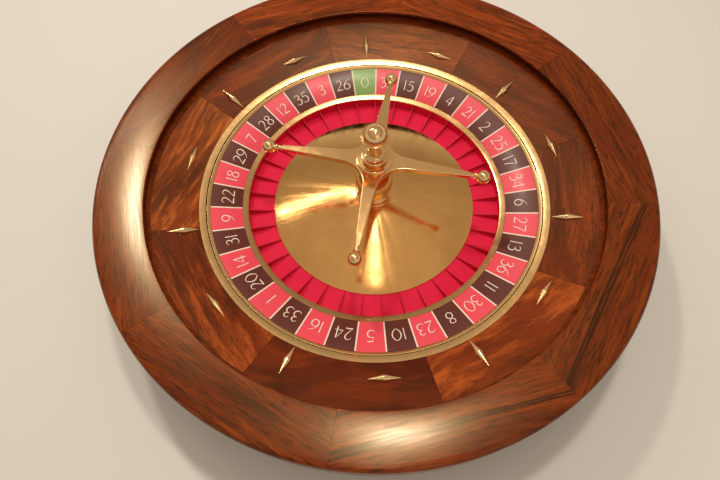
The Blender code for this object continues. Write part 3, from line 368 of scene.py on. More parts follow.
class Operation(Enum):
    """Operations of a Math or Vector Math node that the finishes use."""

    ADD = "first plus second"
    SUBTRACT = "first less second"
    MULTIPLY = "first times second"
    MAXIMUM = "the greater of the two"
    SINE = "sine of the first"
    LENGTH = "length of the vector"
    NORMALIZE = "vector of length 1"


class Ease(Enum):
    """How a value runs from one end of a range to the other."""

    SMOOTHSTEP = "gently at both ends"
    LINEAR = "in a straight line"


class Signal:
    """One value in a node tree, on which Python's operators add Math nodes."""

    def __init__(self, graph: Graph, socket: bpy.types.NodeSocket) -> None:
        """Keeps the tree that new nodes go to and the socket that the value comes from."""
        self.graph = graph
        self.socket = socket

    def _math(self, operation: Operation, first: object, second: object) -> Signal:
        """Adds one Math node and gives its result."""
        node = self.graph.node("ShaderNodeMath", {"operation": operation.name}, {0: first, 1: second})
        return Signal(self.graph, node.outputs[0])

    def __add__(self, other: object) -> Signal:
        """Adds a value."""
        return self._math(Operation.ADD, self, other)

    __radd__ = __add__

    def __sub__(self, other: object) -> Signal:
        """Subtracts a value."""
        return self._math(Operation.SUBTRACT, self, other)

    def __rsub__(self, other: object) -> Signal:
        """Subtracts this from a value."""
        return self._math(Operation.SUBTRACT, other, self)

    def __mul__(self, other: object) -> Signal:
        """Multiplies by a value."""
        return self._math(Operation.MULTIPLY, self, other)

    __rmul__ = __mul__

    def greater(self, other: object) -> Signal:
        """Gives the greater of two values."""
        return self._math(Operation.MAXIMUM, self, other)

    def sine(self) -> Signal:
        """Gives the sine of the value."""
        return self._math(Operation.SINE, self, 0.0)

    def spread(
        self, low: float, high: float, to_low: float = 0.0, to_high: float = 1.0, ease: Ease = Ease.SMOOTHSTEP
    ) -> Signal:
        """Maps a range of the value onto another and keeps it inside.

        Args:
            low: Value that becomes to_low.
            high: Value that becomes to_high.
            to_low: Start of the new range.
            to_high: End of the new range.
            ease: How the value runs between them.

        Returns:
            The mapped value.
        """
        settings = {"clamp": True, "interpolation_type": ease.name}
        inputs = {0: self, 1: low, 2: high, 3: to_low, 4: to_high}
        return Signal(self.graph, self.graph.node("ShaderNodeMapRange", settings, inputs).outputs[0])


class Graph:
    """Adds nodes to one node tree."""

    MIX_FIRST, MIX_SECOND, MIX_RESULT = 6, 7, 2

    def __init__(self, tree: bpy.types.NodeTree) -> None:
        """Keeps the tree."""
        self.tree = tree

    def node(self, kind: str, settings: dict, inputs: dict) -> bpy.types.Node:
        """Adds a node.

        Args:
            kind: Node type.
            settings: Properties of the node, set first.
            inputs: Values, Signals or sockets by input name or number.

        Returns:
            The node.
        """
        made = self.tree.nodes.new(kind)
        for key, value in settings.items():
            setattr(made, key, value)
        for key, value in inputs.items():
            self.feed(made.inputs[key], value)
        return made

    def feed(self, socket: bpy.types.NodeSocket, value: object) -> None:
        """Links a Signal or socket to an input, or sets a plain value.

        Args:
            socket: The input.
            value: What it takes.
        """
        if isinstance(value, Signal):
            self.tree.links.new(value.socket, socket)
        elif isinstance(value, bpy.types.NodeSocket):
            self.tree.links.new(value, socket)
        elif socket.type == "RGBA" and len(value) == 3:
            socket.default_value = (*value, 1.0)
        else:
            socket.default_value = value

    def blend(self, share: object, first: object, second: object) -> bpy.types.NodeSocket:
        """Mixes two colours by a share from 0 to 1."""
        inputs = {0: share, self.MIX_FIRST: first, self.MIX_SECOND: second}
        return self.node("ShaderNodeMix", {"data_type": "RGBA"}, inputs).outputs[self.MIX_RESULT]


class Recipe(Graph):
    """Builds one material's node tree."""

    def __init__(self, name: str) -> None:
        """Starts a material with an empty Principled shader.

        Args:
            name: Name of the material.
        """
        self.material = bpy.data.materials.new(name)
        self.material.use_nodes = True
        super().__init__(self.material.node_tree)
        self.shader = self.tree.nodes["Principled BSDF"]
        self.place = self.node("ShaderNodeTexCoord", {}, {}).outputs["Object"]

    def mapped(
        self, turn_deg: float = 0.0, scale: Triple = (1.0, 1.0, 1.0), shift: Triple = (0.0, 0.0, 0.0)
    ) -> bpy.types.NodeSocket:
        """Gives the piece's coordinates turned about Z, then stretched and shifted.

        Args:
            turn_deg: Direction of the pattern's own X axis.
            scale: Stretch along the turned axes.
            shift: Offset of the stretched pattern.

        Returns:
            The vector socket.
        """
        rotation = (0.0, 0.0, -math.radians(turn_deg))
        turned = self.node("ShaderNodeMapping", {}, {"Vector": self.place, "Rotation": rotation})
        return self.stretched(turned.outputs[0], scale, shift)

    def noise(
        self,
        vector: bpy.types.NodeSocket,
        scale: float = 1.0,
        detail: float = 2.0,
        rough: float = 0.5,
        distortion: float = 0.0,
    ) -> Signal:
        """Adds a noise texture.

        Args:
            vector: Coordinates of the pattern.
            scale: How closely its lumps follow each other.
            detail: How many finer layers it has.
            rough: Share of each finer layer.
            distortion: How much it is twisted.

        Returns:
            The noise's value.
        """
        inputs = {"Vector": vector, "Scale": scale, "Detail": detail, "Roughness": rough}
        inputs["Distortion"] = distortion
        node = self.node("ShaderNodeTexNoise", {"noise_dimensions": "3D"}, inputs)
        return Signal(self, node.outputs["Fac"])

    def even(self, scale: float, detail: float = 2.0, rough: float = 0.5) -> Signal:
        """Adds a noise that is the same in every direction of the piece."""
        return self.noise(self.mapped(scale=(scale,) * 3), detail=detail, rough=rough)

    def warped(self, vector: bpy.types.NodeSocket, scale: float, amount: float) -> bpy.types.NodeSocket:
        """Pushes coordinates about with a soft noise, so that a pattern swirls.

        Args:
            vector: Coordinates to push.
            scale: How closely the pushes follow each other.
            amount: Greatest push.

        Returns:
            The vector socket.
        """
        push = self.node("ShaderNodeTexNoise", {}, {"Vector": vector, "Scale": scale, "Detail": 2.0})
        centred = self.vector_math(Operation.SUBTRACT, push.outputs["Color"], (0.5,) * 3)
        scaled = self.vector_math(Operation.MULTIPLY, centred.outputs[0], (amount,) * 3)
        return self.vector_math(Operation.ADD, vector, scaled.outputs[0]).outputs[0]

    def vector_math(self, operation: Operation, *values: object) -> bpy.types.Node:
        """Adds a Vector Math node."""
        return self.node("ShaderNodeVectorMath", {"operation": operation.name}, dict(enumerate(values)))

    def stretched(self, vector: bpy.types.NodeSocket, scale: Triple, shift: Triple) -> bpy.types.NodeSocket:
        """Stretches coordinates and shifts them."""
        inputs = {"Vector": vector, "Scale": scale, "Location": shift}
        return self.node("ShaderNodeMapping", {}, inputs).outputs[0]

    def flat(self) -> bpy.types.NodeSocket:
        """Gives the piece's coordinates without their height."""
        return self.vector_math(Operation.MULTIPLY, self.place, (1.0, 1.0, 0.0)).outputs[0]

    def radius(self) -> Signal:
        """Gives the distance from the wheel's axis."""
        return Signal(self, self.vector_math(Operation.LENGTH, self.flat()).outputs["Value"])

    def level(self) -> Signal:
        """Gives the height above the table."""
        return Signal(self, self.node("ShaderNodeSeparateXYZ", {}, {0: self.place}).outputs["Z"])

    def across(self, turn_deg: float) -> Signal:
        """Gives the distance from the axis across a direction."""
        turned = self.mapped(turn_deg)
        return Signal(self, self.node("ShaderNodeSeparateXYZ", {}, {0: turned}).outputs["Y"])

    def grooves(self, scale: float, detail: float = 2.0) -> Signal:
        """Gives fine rings round the wheel's axis, as a lathe leaves them.

        Args:
            scale: How closely the rings follow each other.
            detail: How many finer layers they have.

        Returns:
            The rings' value.
        """
        inputs = {"W": self.radius(), "Scale": scale, "Detail": detail}
        node = self.node("ShaderNodeTexNoise", {"noise_dimensions": "1D"}, inputs)
        return Signal(self, node.outputs["Fac"])

    def rays(self, scale: float) -> Signal:
        """Gives soft rays that run out from the wheel's axis."""
        outward = self.vector_math(Operation.NORMALIZE, self.flat()).outputs[0]
        return self.noise(outward, scale, detail=4.0, rough=0.6)

    def bump(self, height: Signal, distance: float, strength: float) -> None:
        """Feeds the shader's normal from a height."""
        node = self.node("ShaderNodeBump", {}, {"Height": height, "Distance": distance, "Strength": strength})
        self.feed(self.shader.inputs["Normal"], node.outputs[0])

    def finish(self, **inputs: object) -> bpy.types.Material:
        """Sets the shader's inputs, whose names are written with _ for a space."""
        for key, value in inputs.items():
            self.feed(self.shader.inputs[key.replace("_", " ").title().replace("Ior", "IOR")], value)
        return self.material


@dataclass(frozen=True)
class Layer:
    """One layer of a wood's noise: how it is stretched, shifted along the grain and broken up."""

    stretch: Triple
    shift: float
    detail: float
    rough: float

    def noise(self, recipe: Recipe, along: bpy.types.NodeSocket) -> Signal:
        """Adds the layer's noise along the grain."""
        place = recipe.stretched(along, self.stretch, (self.shift, 0.0, 0.0))
        return recipe.noise(place, detail=self.detail, rough=self.rough)


@dataclass(frozen=True)
class Wood:
    """Varnished hardwood whose grain runs one way."""

    name: str
    dark: Colour
    mid: Colour
    light: Colour
    grain_deg: float = 0.0
    seed: float = 0.0
    seed_slant: float = 0.37
    figure: float = 0.25
    band_scale: float = 40.0
    band_length: float = 4.0
    band_range: Point = (0.28, 0.58)
    streak_length: float = 9.0
    streak_scale: float = 3.2
    streak_range: Point = (0.46, 0.70)
    streak_base: float = 0.35
    streak_gain: float = 0.6
    cloud: Layer = Layer((6.0, 15.0, 15.0), 5.3, 2.0, 0.5)
    cloud_range: Point = (0.45, 0.75)
    fibre: Layer = Layer((16.0, 330.0, 330.0), 3.7, 3.0, 0.6)
    fibre_range: Point = (0.48, 0.70)
    swirl: float = 0.01
    swirl_scale: float = 7.0
    roughness: float = 0.20
    smoother: float = 0.02
    rougher: float = 0.05
    specular: float = 0.36
    coat: float = 0.09
    coat_roughness: float = 0.13
    sheen_tint: Colour = (1.0, 0.76, 0.42)
    fine: float = 0.60
    pore_scale: Triple = (85.0, 520.0, 520.0)
    pore_range: Point = (0.54, 0.66)
    pore_depth: float = 0.00005
    fibre_relief: float = 0.25
    vein: float = 0.0
    vein_sharpness: float = 620.0
    vein_wander: float = 12.0
    vein_edges: Point = (1.2, 3.2)
    vein_core: float = 0.8
    vein_share: float = 0.95
    vein_darkness: float = 0.5
    shade_levels: Point = (0.0, 0.0)
    shade_share: float = 0.8
    shade_colour: Colour = (0.010, 0.002, 0.001)

    def material(self) -> bpy.types.Material:
        """Makes the wood's material.

        Returns:
            The material.
        """
        r = Recipe(self.name)
        shift = (self.seed, self.seed * self.seed_slant, 0.0)
        along = r.warped(r.mapped(self.grain_deg, shift=shift), self.swirl_scale, self.swirl)
        wide = self.band_scale
        narrow = wide * self.streak_scale
        bands = Layer((self.band_length, wide, wide), 0.0, detail=4.0, rough=0.6).noise(r, along)
        streaks = Layer((self.streak_length, narrow, narrow), 2.1, detail=3.0, rough=0.6).noise(r, along)
        cloud = self.cloud.noise(r, along)
        fibre = self.fibre.noise(r, along)
        pores = r.noise(r.mapped(self.grain_deg, self.pore_scale, (self.seed, 0.0, 0.0)))
        base = r.blend(bands.spread(*self.band_range), self.dark, self.mid)
        glow = streaks.spread(*self.streak_range) * (self.streak_base + self.figure * self.streak_gain)
        base = r.blend(glow + cloud.spread(*self.cloud_range) * self.figure, base, self.light)
        shade = (pores.spread(*self.pore_range) * self.fine) + (fibre.spread(*self.fibre_range) * self.fine)
        base = r.blend(shade, base, self.dark)
        if self.vein:
            deep = tuple(self.vein_darkness * part for part in self.dark)
            base = r.blend(self.double_line(r, bands) * self.vein_share, base, deep)
        # Painted shade: above the given levels the colour darkens, as the track's wall lies in shade under
        # the rim's lip.
        if self.shade_levels[1]:
            base = r.blend(r.level().spread(*self.shade_levels) * self.shade_share, base, self.shade_colour)
        rough = fibre.spread(*NOISE_REACH, self.roughness - self.smoother, self.roughness + self.rougher)
        r.bump((pores * -1.0) + (fibre * self.fibre_relief), self.pore_depth, strength=0.35)
        return r.finish(
            base_color=base,
            roughness=rough,
            specular_ior_level=self.specular,
            specular_tint=self.sheen_tint,
            coat_weight=self.coat,
            coat_roughness=self.coat_roughness,
        )

    def double_line(self, recipe: Recipe, bands: Signal) -> Signal:
        """Gives the dark double line that runs along the grain where the vein is.

        Args:
            recipe: The wood's own recipe.
            bands: Noise that the line wanders with.

        Returns:
            1 on either line and less between them.
        """
        wander = (bands - 0.5) * self.vein_wander
        beside = ((recipe.across(self.grain_deg) + self.vein) * self.vein_sharpness) + wander
        near, far = self.vein_edges
        outer = beside.spread(-far, -near) - beside.spread(-near, 0.0) * self.vein_core
        inner = beside.spread(0.0, near) * self.vein_core - beside.spread(near, far)
        return outer + inner


@dataclass(frozen=True)
class Brass:
    """Polished brass with a trace of handling and the marks of turning."""

    name: str
    bright: Colour = (0.90, 0.57, 0.27)
    dull: Colour = (0.76, 0.45, 0.18)
    roughness: float = 0.13
    smoother: float = 0.03
    cloud_scale: Triple = (14.0, 14.0, 22.0)
    cloud_range: Point = (0.38, 0.74)
    cloud_share: float = 0.75
    cloud_roughness: float = 0.07
    smear_scale: Triple = (90.0, 90.0, 120.0)
    smear_range: Point = (0.45, 0.80)
    smear_roughness: float = 0.05
    smear_height: float = 0.6
    ring_marks: float = 0.0
    ring_scale: float = 1400.0
    ray_marks: float = 0.0
    ray_scale: float = 7.0
    ray_reach: Point = (0.40, 0.70)
    ray_roughness: Point = (-0.03, 0.06)
    ray_range: Point = (0.45, 0.75)
    ray_share: float = 0.5
    brushed: float = 0.0
    relief: float = 0.00001

    def material(self) -> bpy.types.Material:
        """Makes the brass's material.

        Returns:
            The material.
        """
        r = Recipe(self.name)
        cloud = r.noise(r.mapped(scale=self.cloud_scale), detail=4.0, rough=0.6)
        smear = r.noise(r.mapped(scale=self.smear_scale), detail=3.0, rough=0.55)
        colour = r.blend(cloud.spread(*self.cloud_range) * self.cloud_share, self.bright, self.dull)
        clouded = cloud.spread(*NOISE_REACH) * self.cloud_roughness
        smeared = smear.spread(*self.smear_range) * self.smear_roughness
        rough = clouded + smeared + (self.roughness - self.smoother)
        height = smear * self.smear_height
        if self.ring_marks:
            height = height + r.grooves(self.ring_scale) * self.ring_marks
        if self.ray_marks:
            rays = r.rays(self.ray_scale)
            height = height + rays * self.ray_marks
            rough = rough + rays.spread(*self.ray_reach, *self.ray_roughness)
            colour = r.blend(rays.spread(*self.ray_range) * self.ray_share, colour, self.dull)
        r.bump(height, self.relief, strength=0.25)
        return r.finish(base_color=colour, metallic=1.0, roughness=rough, anisotropic=self.brushed)


@dataclass(frozen=True)
class Enamel:
    """Glossy paint with a slight unevenness and a trace of wear."""

    name: str
    colour: Colour
    deep: Colour
    roughness: float = 0.38
    specular: float = 0.3
    coat: float = 0.08
    coat_roughness: float = 0.2
    smoother: float = 0.04
    cloud_scale: float = 18.0
    cloud_range: Point = (0.35, 0.80)
    cloud_share: float = 0.55
    cloud_roughness: float = 0.10
    peel_scale: float = 520.0
    peel_range: Point = (0.5, 0.9)
    peel_share: float = 0.2
    relief: float = 0.00002

    def material(self) -> bpy.types.Material:
        """Makes the paint's material.

        Returns:
            The material.
        """
        r = Recipe(self.name)
        cloud = r.even(self.cloud_scale, detail=4.0, rough=0.6)
        peel = r.even(self.peel_scale)
        clouded = cloud.spread(*self.cloud_range) * self.cloud_share
        uneven = clouded + (peel.spread(*self.peel_range) * self.peel_share)
        colour = r.blend(uneven, self.colour, self.deep)
        rough = (cloud.spread(*NOISE_REACH) * self.cloud_roughness) + (self.roughness - self.smoother)
        r.bump(peel, self.relief, strength=0.22)
        return r.finish(
            base_color=colour,
            roughness=rough,
            specular_ior_level=self.specular,
            coat_weight=self.coat,
            coat_roughness=self.coat_roughness,
        )


@dataclass(frozen=True)
class Steel:
    """Turned steel or bronze of the hidden bearings."""

    name: str
    bright: Colour
    dull: Colour
    roughness: float = 0.28
    rougher: float = 0.15
    ring_scale: float = 2600.0
    ring_share: float = 0.2
    cloud_scale: float = 60.0
    cloud_range: Point = (0.4, 0.8)
    cloud_share: float = 0.6
    relief: float = 0.00002

    def material(self) -> bpy.types.Material:
        """Makes the metal's material.

        Returns:
            The material.
        """
        r = Recipe(self.name)
        rings = r.grooves(self.ring_scale, detail=3.0)
        cloud = r.even(self.cloud_scale, detail=3.0, rough=0.6)
        clouded = cloud.spread(*self.cloud_range) * self.cloud_share
        colour = r.blend(clouded + (rings * self.ring_share), self.bright, self.dull)
        r.bump(rings, self.relief, strength=0.3)
        rough = rings.spread(*NOISE_REACH, self.roughness, self.roughness + self.rougher)
        return r.finish(base_color=colour, metallic=1.0, roughness=rough)


@dataclass(frozen=True)
class Rubber:
    """Moulded black rubber of the feet."""

    name: str
    colour: Colour = (0.022, 0.021, 0.020)
    worn: Colour = (0.075, 0.072, 0.068)
    roughness: Point = (0.62, 0.85)
    dust_scale: float = 70.0
    dust_range: Point = (0.50, 0.85)
    dust_share: float = 0.7
    grain_scale: float = 1400.0
    relief: float = 0.00005

    def material(self) -> bpy.types.Material:
        """Makes the rubber's material.

        Returns:
            The material.
        """
        r = Recipe(self.name)
        dust = r.even(self.dust_scale, detail=5.0, rough=0.65)
        colour = r.blend(dust.spread(*self.dust_range) * self.dust_share, self.colour, self.worn)
        r.bump(r.even(self.grain_scale), self.relief, strength=0.4)
        return r.finish(base_color=colour, roughness=dust.spread(*NOISE_REACH, *self.roughness))


@dataclass(frozen=True)
class Plywood:
    """Pale plywood with straight grain and a film of lacquer."""

    name: str
    pale: Colour = (0.47, 0.30, 0.155)
    brown: Colour = (0.28, 0.155, 0.070)
    roughness: Point = (0.48, 0.65)
    grain_scale: Triple = (3.0, 60.0, 60.0)
    grain_range: Point = (0.4, 0.7)
    grain_share: float = 0.55
    fibre_scale: Triple = (30.0, 700.0, 700.0)
    fibre_range: Point = (0.5, 0.8)
    fibre_share: float = 0.25
    ply_scale: float = 2400.0
    ply_range: Point = (-0.2, 0.2)
    ply_share: float = 0.22
    relief: float = 0.00006

    def material(self) -> bpy.types.Material:
        """Makes the plywood's material.

        Returns:
            The material.
        """
        r = Recipe(self.name)
        grain = r.noise(r.mapped(scale=self.grain_scale), detail=5.0, rough=0.6, distortion=0.8)
        fibre = r.noise(r.mapped(scale=self.fibre_scale), detail=3.0, rough=0.6)
        plies = (r.level() * self.ply_scale).sine().spread(*self.ply_range)
        fine = fibre.spread(*self.fibre_range) * self.fibre_share
        streaks = (grain.spread(*self.grain_range) * self.grain_share) + fine
        colour = r.blend(streaks, self.pale, self.brown)
        colour = r.blend(plies * self.ply_share, colour, self.brown)
        r.bump(fibre, self.relief, strength=0.3)
        return r.finish(base_color=colour, roughness=fibre.spread(*NOISE_REACH, *self.roughness))


class Finish(Protocol):
    """What every finish has: a name and a way to make its material."""

    name: str

    def material(self) -> bpy.types.Material:
        """Makes the finish's material."""


class Palette:
    """Every finish of the wheel, each made once."""

    def __init__(self) -> None:
        """Starts with nothing made."""
        self._made: dict[str, bpy.types.Material] = {}

    def get(self, finish: Finish) -> bpy.types.Material:
        """Gives a finish's material, and makes it the first time.

        Args:
            finish: The finish.

        Returns:
            Its material.
        """
        if finish.name not in self._made:
            self._made[finish.name] = finish.material()
        return self._made[finish.name]


BRASS = Brass("polished_brass")
CONE_BRASS = Brass(
    "spun_brass",
    (0.94, 0.53, 0.19),
    (0.74, 0.40, 0.14),
    roughness=0.12,
    ring_marks=0.25,
    ray_marks=60.0,
    brushed=0.7,
)
BAND_BRASS = Brass("band_brass", (0.76, 0.48, 0.21), (0.68, 0.41, 0.165), roughness=0.36)
TRIM_BRASS = Brass("trim_brass", (0.84, 0.54, 0.25), (0.76, 0.46, 0.185), roughness=0.20)
# Dark brass for the faces in the gap round the wheel head: painted shade of the narrow gap.
PAINTED_GAP_SHADE = Brass("gap_brass", (0.085, 0.045, 0.018), (0.055, 0.028, 0.011), roughness=0.60)
INNER_BRASS = Brass("inner_ring_brass", (0.61, 0.365, 0.165), (0.54, 0.305, 0.125), roughness=0.19)
PIN_BRASS = Brass("pin_brass", (0.95, 0.66, 0.34), (0.88, 0.56, 0.25), roughness=0.21)
RED = Enamel("number_red", (0.90, 0.082, 0.126), (0.80, 0.062, 0.100))
BLACK = Enamel("number_black", (0.130, 0.027, 0.018), (0.090, 0.016, 0.011))
GREEN = Enamel("number_green", (0.25, 0.43, 0.115), (0.19, 0.34, 0.09))
CREAM = Enamel("number_cream", (0.96, 0.84, 0.74), (0.90, 0.76, 0.66), roughness=0.45)
POCKET_RED = Enamel(
    "pocket_red", (0.76, 0.012, 0.064), (0.64, 0.008, 0.048), roughness=0.62, specular=0.14, coat=0.0
)
FRET_RED = Enamel("fret_red", (0.66, 0.020, 0.058), (0.52, 0.012, 0.040), roughness=0.42, specular=0.2)
STEEL = Steel("turned_steel", (0.60, 0.60, 0.62), (0.38, 0.38, 0.41))
BRONZE = Steel("turned_bronze", (0.55, 0.32, 0.14), (0.36, 0.19, 0.08))
RUBBER = Rubber("foot_rubber")
PLYWOOD = Plywood("lacquered_plywood")
BODY_WOOD = Wood("bowl_wood", (0.050, 0.010, 0.003), (0.125, 0.028, 0.007), (0.20, 0.055, 0.014), seed=4.0)
# The track's wall darkens towards the rim's lip: painted shade.
TRACK_WOOD = Wood(
    "track_wood",
    (0.075, 0.013, 0.003),
    (0.185, 0.029, 0.005),
    (0.30, 0.058, 0.010),
    seed=9.0,
    roughness=0.6,
    specular=0.12,
    coat=0.0,
    shade_levels=(0.1270, 0.1365),
)


@dataclass(frozen=True)
class Board:
    """Look of one rim board: how light it is, how strong its fine grain is and where a vein runs."""

    tone: float
    fine: float
    vein: float = 0.0
    dark: Colour = (0.052, 0.008, 0.001)
    mid: Colour = (0.205, 0.0275, 0.0028)
    light: Colour = (0.340, 0.062, 0.0075)
    figure: float = 0.55
    pore_scale: Triple = (48.0, 430.0, 430.0)
    first_seed: float = 1.3
    seed_step: float = 2.7

    def wood(self, number: int, middle_deg: float) -> Wood:
        """Gives the board's own wood.

        Args:
            number: Number of the board, from 1.
            middle_deg: Direction of its middle.

        Returns:
            Its finish, with the grain along the board.
        """
        return Wood(
            f"rim_wood_{number}",
            self.dark,
            tuple(self.tone * part for part in self.mid),
            tuple(self.tone * part for part in self.light),
            grain_deg=middle_deg + 90.0,
            seed=self.seed_step * (number - 1) + self.first_seed,
            fine=self.fine,
            figure=self.figure,
            pore_scale=self.pore_scale,
            vein=self.vein,
        )


@dataclass(frozen=True)
class Veneer:
    """Look of one apron panel: its grain's direction, its colour and its figure."""

    turn_deg: float
    tone: float
    tan: float
    figure: float
    swirl: float
    scale: float
    fine: float
    dark: Colour = (0.055, 0.007, 0.001)
    mid: Colour = (0.150, 0.018, 0.0025)
    light: Colour = (0.330, 0.062, 0.009)
    roughness: float = 0.30
    specular: float = 0.25
    coat: float = 0.06
    first_seed: float = 0.4
    seed_step: float = 3.9

    def tinted(self, colour: Colour) -> Colour:
        """Gives a colour in the panel's own tone and tan."""
        red, green, blue = (self.tone * part for part in colour)
        return (red, green * self.tan, blue * self.tan)

    def wood(self, number: int, middle_deg: float) -> Wood:
        """Gives the panel's own wood.

        Args:
            number: Number of the panel, from 1.
            middle_deg: Direction of its middle.

        Returns:
            Its finish, with the grain nearly across the panel's middle line.
        """
        return Wood(
            f"apron_wood_{number}",
            self.dark,
            self.tinted(self.mid),
            self.tinted(self.light),
            grain_deg=middle_deg + self.turn_deg,
            seed=self.seed_step * (number - 1) + self.first_seed,
            figure=self.figure,
            band_scale=self.scale,
            swirl=self.swirl,
            fine=self.fine,
            roughness=self.roughness,
            specular=self.specular,
            coat=self.coat,
        )


RIM_BOARDS = (
    Board(0.76, 0.74),
    Board(1.20, 0.68),
    Board(1.20, 0.66),
    Board(0.78, 0.60),
    Board(0.84, 0.60),
    Board(0.90, 0.72),
    Board(0.94, 0.60, vein=0.3618),
    Board(0.84, 0.76, vein=0.3560),
)
# The fifth panel, on the left, has a higher tone and tan than the others: partly its veneer's colour, partly
# painted sheen where the side lamps shine.
APRON_VENEERS = (
    Veneer(92.0, 0.80, 0.86, 0.80, 0.020, 26.0, 0.60),
    Veneer(104.0, 0.66, 0.72, 0.80, 0.012, 24.0, 0.60),
    Veneer(88.0, 1.10, 1.08, 0.80, 0.010, 22.0, 0.55),
    Veneer(89.0, 0.78, 0.74, 0.90, 0.030, 22.0, 0.45),
    Veneer(77.0, 1.60, 1.25, 0.95, 0.022, 26.0, 0.35),
    Veneer(84.0, 1.35, 1.00, 0.90, 0.012, 20.0, 0.50),
    Veneer(94.0, 0.58, 0.68, 0.90, 0.080, 14.0, 0.30),
    Veneer(77.0, 1.55, 1.05, 0.90, 0.070, 15.0, 0.35),
)


# Sub-assemblies


@dataclass
class SubAssembly:
    """What every group of pieces shares: the frame, the finishes and the body it rides on."""

    frame: dict
    palette: Palette
    body: str = "bowl"

    def extent(self, node: str) -> Extent:
        """Measures a node of the frame."""
        return Extent.of(node, self.frame)

    def mount(
        self,
        piece: bpy.types.Object,
        finish: Finish | None,
        slot: str,
        replaces: Sequence[str] = (),
        body: str | None = None,
    ) -> None:
        """Gives a piece its finish, its body and the nodes that it stands for.

        Args:
            piece: The finished piece, in place.
            finish: Its finish, or None where its materials are already on it.
            slot: Slot of the record that the finish belongs to; not used.
            replaces: Nodes of the frame that the piece stands for.
            body: Body that it rides on, if not the group's own.
        """
        if finish is not None:
            piece.data.materials.clear()
            piece.data.materials.append(self.palette.get(finish))
        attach(piece, body or self.body)
        if replaces:
            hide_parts(*replaces)
        LOG.info("%s: %d faces on %s", piece.name, len(piece.data.polygons), body or self.body)

    def line_gap(self, ring: bpy.types.Object, finish: Finish, radius: float) -> None:
        """Darkens the upright face that a ring turns to the gap round the wheel head: a dark brass stands in
        for the shade down the narrow gap, as painted shade.

        Args:
            ring: The ring, in place.
            finish: Finish of its other faces.
            radius: Radius of the face in the gap.
        """
        ring.data.materials.clear()
        for part in (finish, PAINTED_GAP_SHADE):
            ring.data.materials.append(self.palette.get(part))
        for face in ring.data.polygons:
            radii = [math.hypot(*ring.data.vertices[i].co.xy) for i in face.vertices]
            face.material_index = int(all(abs(reach - radius) < SAME_PLACE for reach in radii))

    def dress(self, node: str, finish: Finish) -> None:
        """Gives a node of the frame a better material.

        Args:
            node: Name of the node.
            finish: Its new finish.
        """
        mesh = self.frame["nodes"][node].data
        mesh.materials.clear()
        mesh.materials.append(self.palette.get(finish))
        LOG.info("%s: kept", node)


